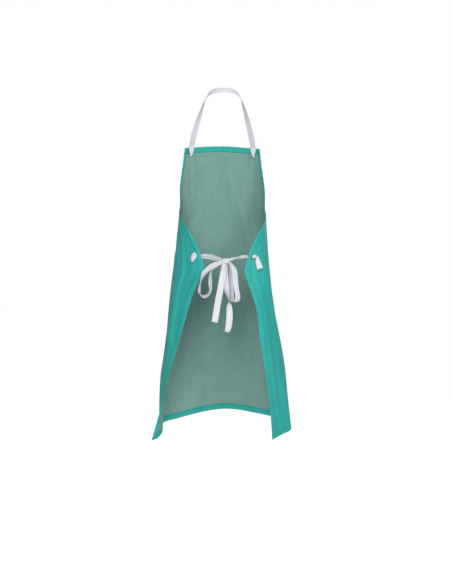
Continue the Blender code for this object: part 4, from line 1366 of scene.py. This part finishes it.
# A knot as a rounded form with the turns of its tape. Mirrored, the turns tilt the other way.
def lump(name, centre, axes, knot, mirror=1):
    rings, around, half = knotForm["rings"], knotForm["around"], knot["half"]
    v = np.linspace(knotForm["pole"], math.pi - knotForm["pole"], rings)[:, None]
    w = np.linspace(0, 2 * math.pi, around, endpoint=False)[None, :]
    roundPower, longPower = knotForm["squareness"]
    x = signedPower(np.cos(w), roundPower) * np.sin(v) ** longPower
    y = signedPower(np.sin(w), roundPower) * np.sin(v) ** longPower
    z = np.cos(v) * np.ones_like(w)
    narrow = np.where(z < 0, 1 + (knot["taper"] - 1) * np.abs(z) ** knotForm["taperPower"], 1.0)
    swell = turnSwell(x, y, z, knot["turns"], mirror)
    crumple, *crumples = knotForm["crumple"]
    for acrossWaves, upWaves in crumples:
        crumple = crumple * np.sin(x * acrossWaves + z * upWaves)
    swell = swell + crumple
    local = np.stack([x * narrow * half[0], y * half[1], z * half[2]], axis=-1)
    local = local * swell[..., None] * knotForm["size"]
    world = np.asarray(centre) + local @ np.asarray(axes)
    tube, near, far = tubeFaces(rings, around)
    lean = knotForm["weaveLean"] * local[..., 2]
    uv = np.stack([local[..., 2] + local[..., 0], local[..., 0] - lean], axis=-1)
    made = makePiece(name, world.reshape(-1, 3), tube + [near, far], [("run", uv.reshape(-1, 2))],
                     [finishes["tape"]])
    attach(made, "root")
    return made


# A knot on the outer face of the cloth, in front of its hole.
def stopKnot(name, node, hole, knot, mirror=1):
    (across, up), (stepAcross, stepUp) = panel["holes"][hole], knot["place"]
    place, normal, leftward = broadCloth(across + stepAcross, up + stepUp)
    seat = knotForm["wall"] + knotForm["clear"] + knot["half"][1]
    axes = [-leftward, normal, np.cross(normal, leftward)]
    made = lump(name, place + normal * seat, axes, knot, mirror)
    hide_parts(node)
    return made


def buildKnots():
    bowKnot = lump("bowKnot", knots["bow"]["centre"], np.eye(3), knots["bow"])
    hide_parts("bow_knot")
    for _, letter in bothSides:
        stopKnot("waistKnot" + letter, "waist_knot_" + letter, "waist" + letter, knots["waist" + letter])
    for side, letter in bothSides:
        stopKnot("neckKnot" + letter, "neck_knot_" + letter, "bib" + letter, knots["bib"], mirror=side)


buildKnots()
buildNeckTape()
buildTies()
buildBow()
print("tapes tied")


# Studio

studio = {
    "floorHeight": -1.570,
    "floorSize": 160.0,
    "floorColour": (0.93, 0.93, 0.93, 1),
    "floorDeep": (0.90, 0.90, 0.90, 1),
    "floorUneven": 0.6,
    "floorRoughness": 0.9,
    "floorSpecular": 0.1,
    "floorGlow": 0.74,
    "sky": 0.30,
    "white": (1, 1, 1, 1),
    "target": (0.0, 0.0, -0.60),  # what the lamps point at
    # place, size, watts
    "lamps": {
        "keySoftbox": ((-2.3, 2.6, 0.9), 1.2, 42),
        "fillSoftbox": ((0.5, 3.3, 0.6), 1.3, 74),
        "frontSoftbox": ((-1.3, -3.0, 1.0), 1.6, 62),
    },
}


def seenByCamera(tree):
    return tree.nodes.new("ShaderNodeLightPath").outputs["Is Camera Ray"]


# The floor is lit up to the white of the backdrop, without lighting the apron from below.
def buildFloor():
    size = studio["floorSize"] / 2
    corners = [(-size, -size), (size, -size), (size, size), (-size, size)]
    finish, tree, shader = newFinish("paleFloor")
    floor = makePiece("studioFloor", [(x, y, studio["floorHeight"]) for x, y in corners], [(0, 1, 2, 3)], (),
                      [finish])
    place = tree.nodes.new("ShaderNodeTexCoord").outputs["Object"]
    dye = placeGroup(tree, "uneven", {"Cut": place}, Colour=studio["floorColour"],
                     Deep_Colour=studio["floorDeep"], Amount=studio["floorUneven"])
    tree.links.new(dye.outputs["Colour"], shader.inputs["Base Color"])
    shader.inputs["Roughness"].default_value = studio["floorRoughness"]
    shader.inputs["Specular IOR Level"].default_value = studio["floorSpecular"]
    shader.inputs["Emission Color"].default_value = studio["white"]
    glow = maths(tree, "MULTIPLY", seenByCamera(tree), studio["floorGlow"])
    tree.links.new(glow, shader.inputs["Emission Strength"])


# A soft sky that lights the apron, seen by the camera as a white backdrop.
def buildSky():
    world = bpy.data.worlds.new("paleStudio")
    world.use_nodes = True
    tree = world.node_tree
    sky, backdrop = tree.nodes["Background"], tree.nodes.new("ShaderNodeBackground")
    sky.inputs["Strength"].default_value = studio["sky"]
    for background in (sky, backdrop):
        background.inputs["Color"].default_value = studio["white"]
    choice = tree.nodes.new("ShaderNodeMixShader")
    tree.links.new(seenByCamera(tree), choice.inputs["Fac"])
    tree.links.new(sky.outputs[0], choice.inputs[1])
    tree.links.new(backdrop.outputs[0], choice.inputs[2])
    tree.links.new(choice.outputs[0], tree.nodes["World Output"].inputs["Surface"])
    bpy.context.scene.world = world


def hangLamps():
    for name, (place, size, watts) in studio["lamps"].items():
        lamp = bpy.data.lights.new(name, "AREA")
        lamp.size = size
        lamp.energy = watts
        made = newObject(name, lamp)
        made.location = place
        made.rotation_mode = "QUATERNION"
        made.rotation_quaternion = (Vector(studio["target"]) - Vector(place)).to_track_quat("-Z", "Y")


buildFloor()
buildSky()
hangLamps()
bpy.context.scene.view_settings.view_transform = "Standard"
print("studio lit")
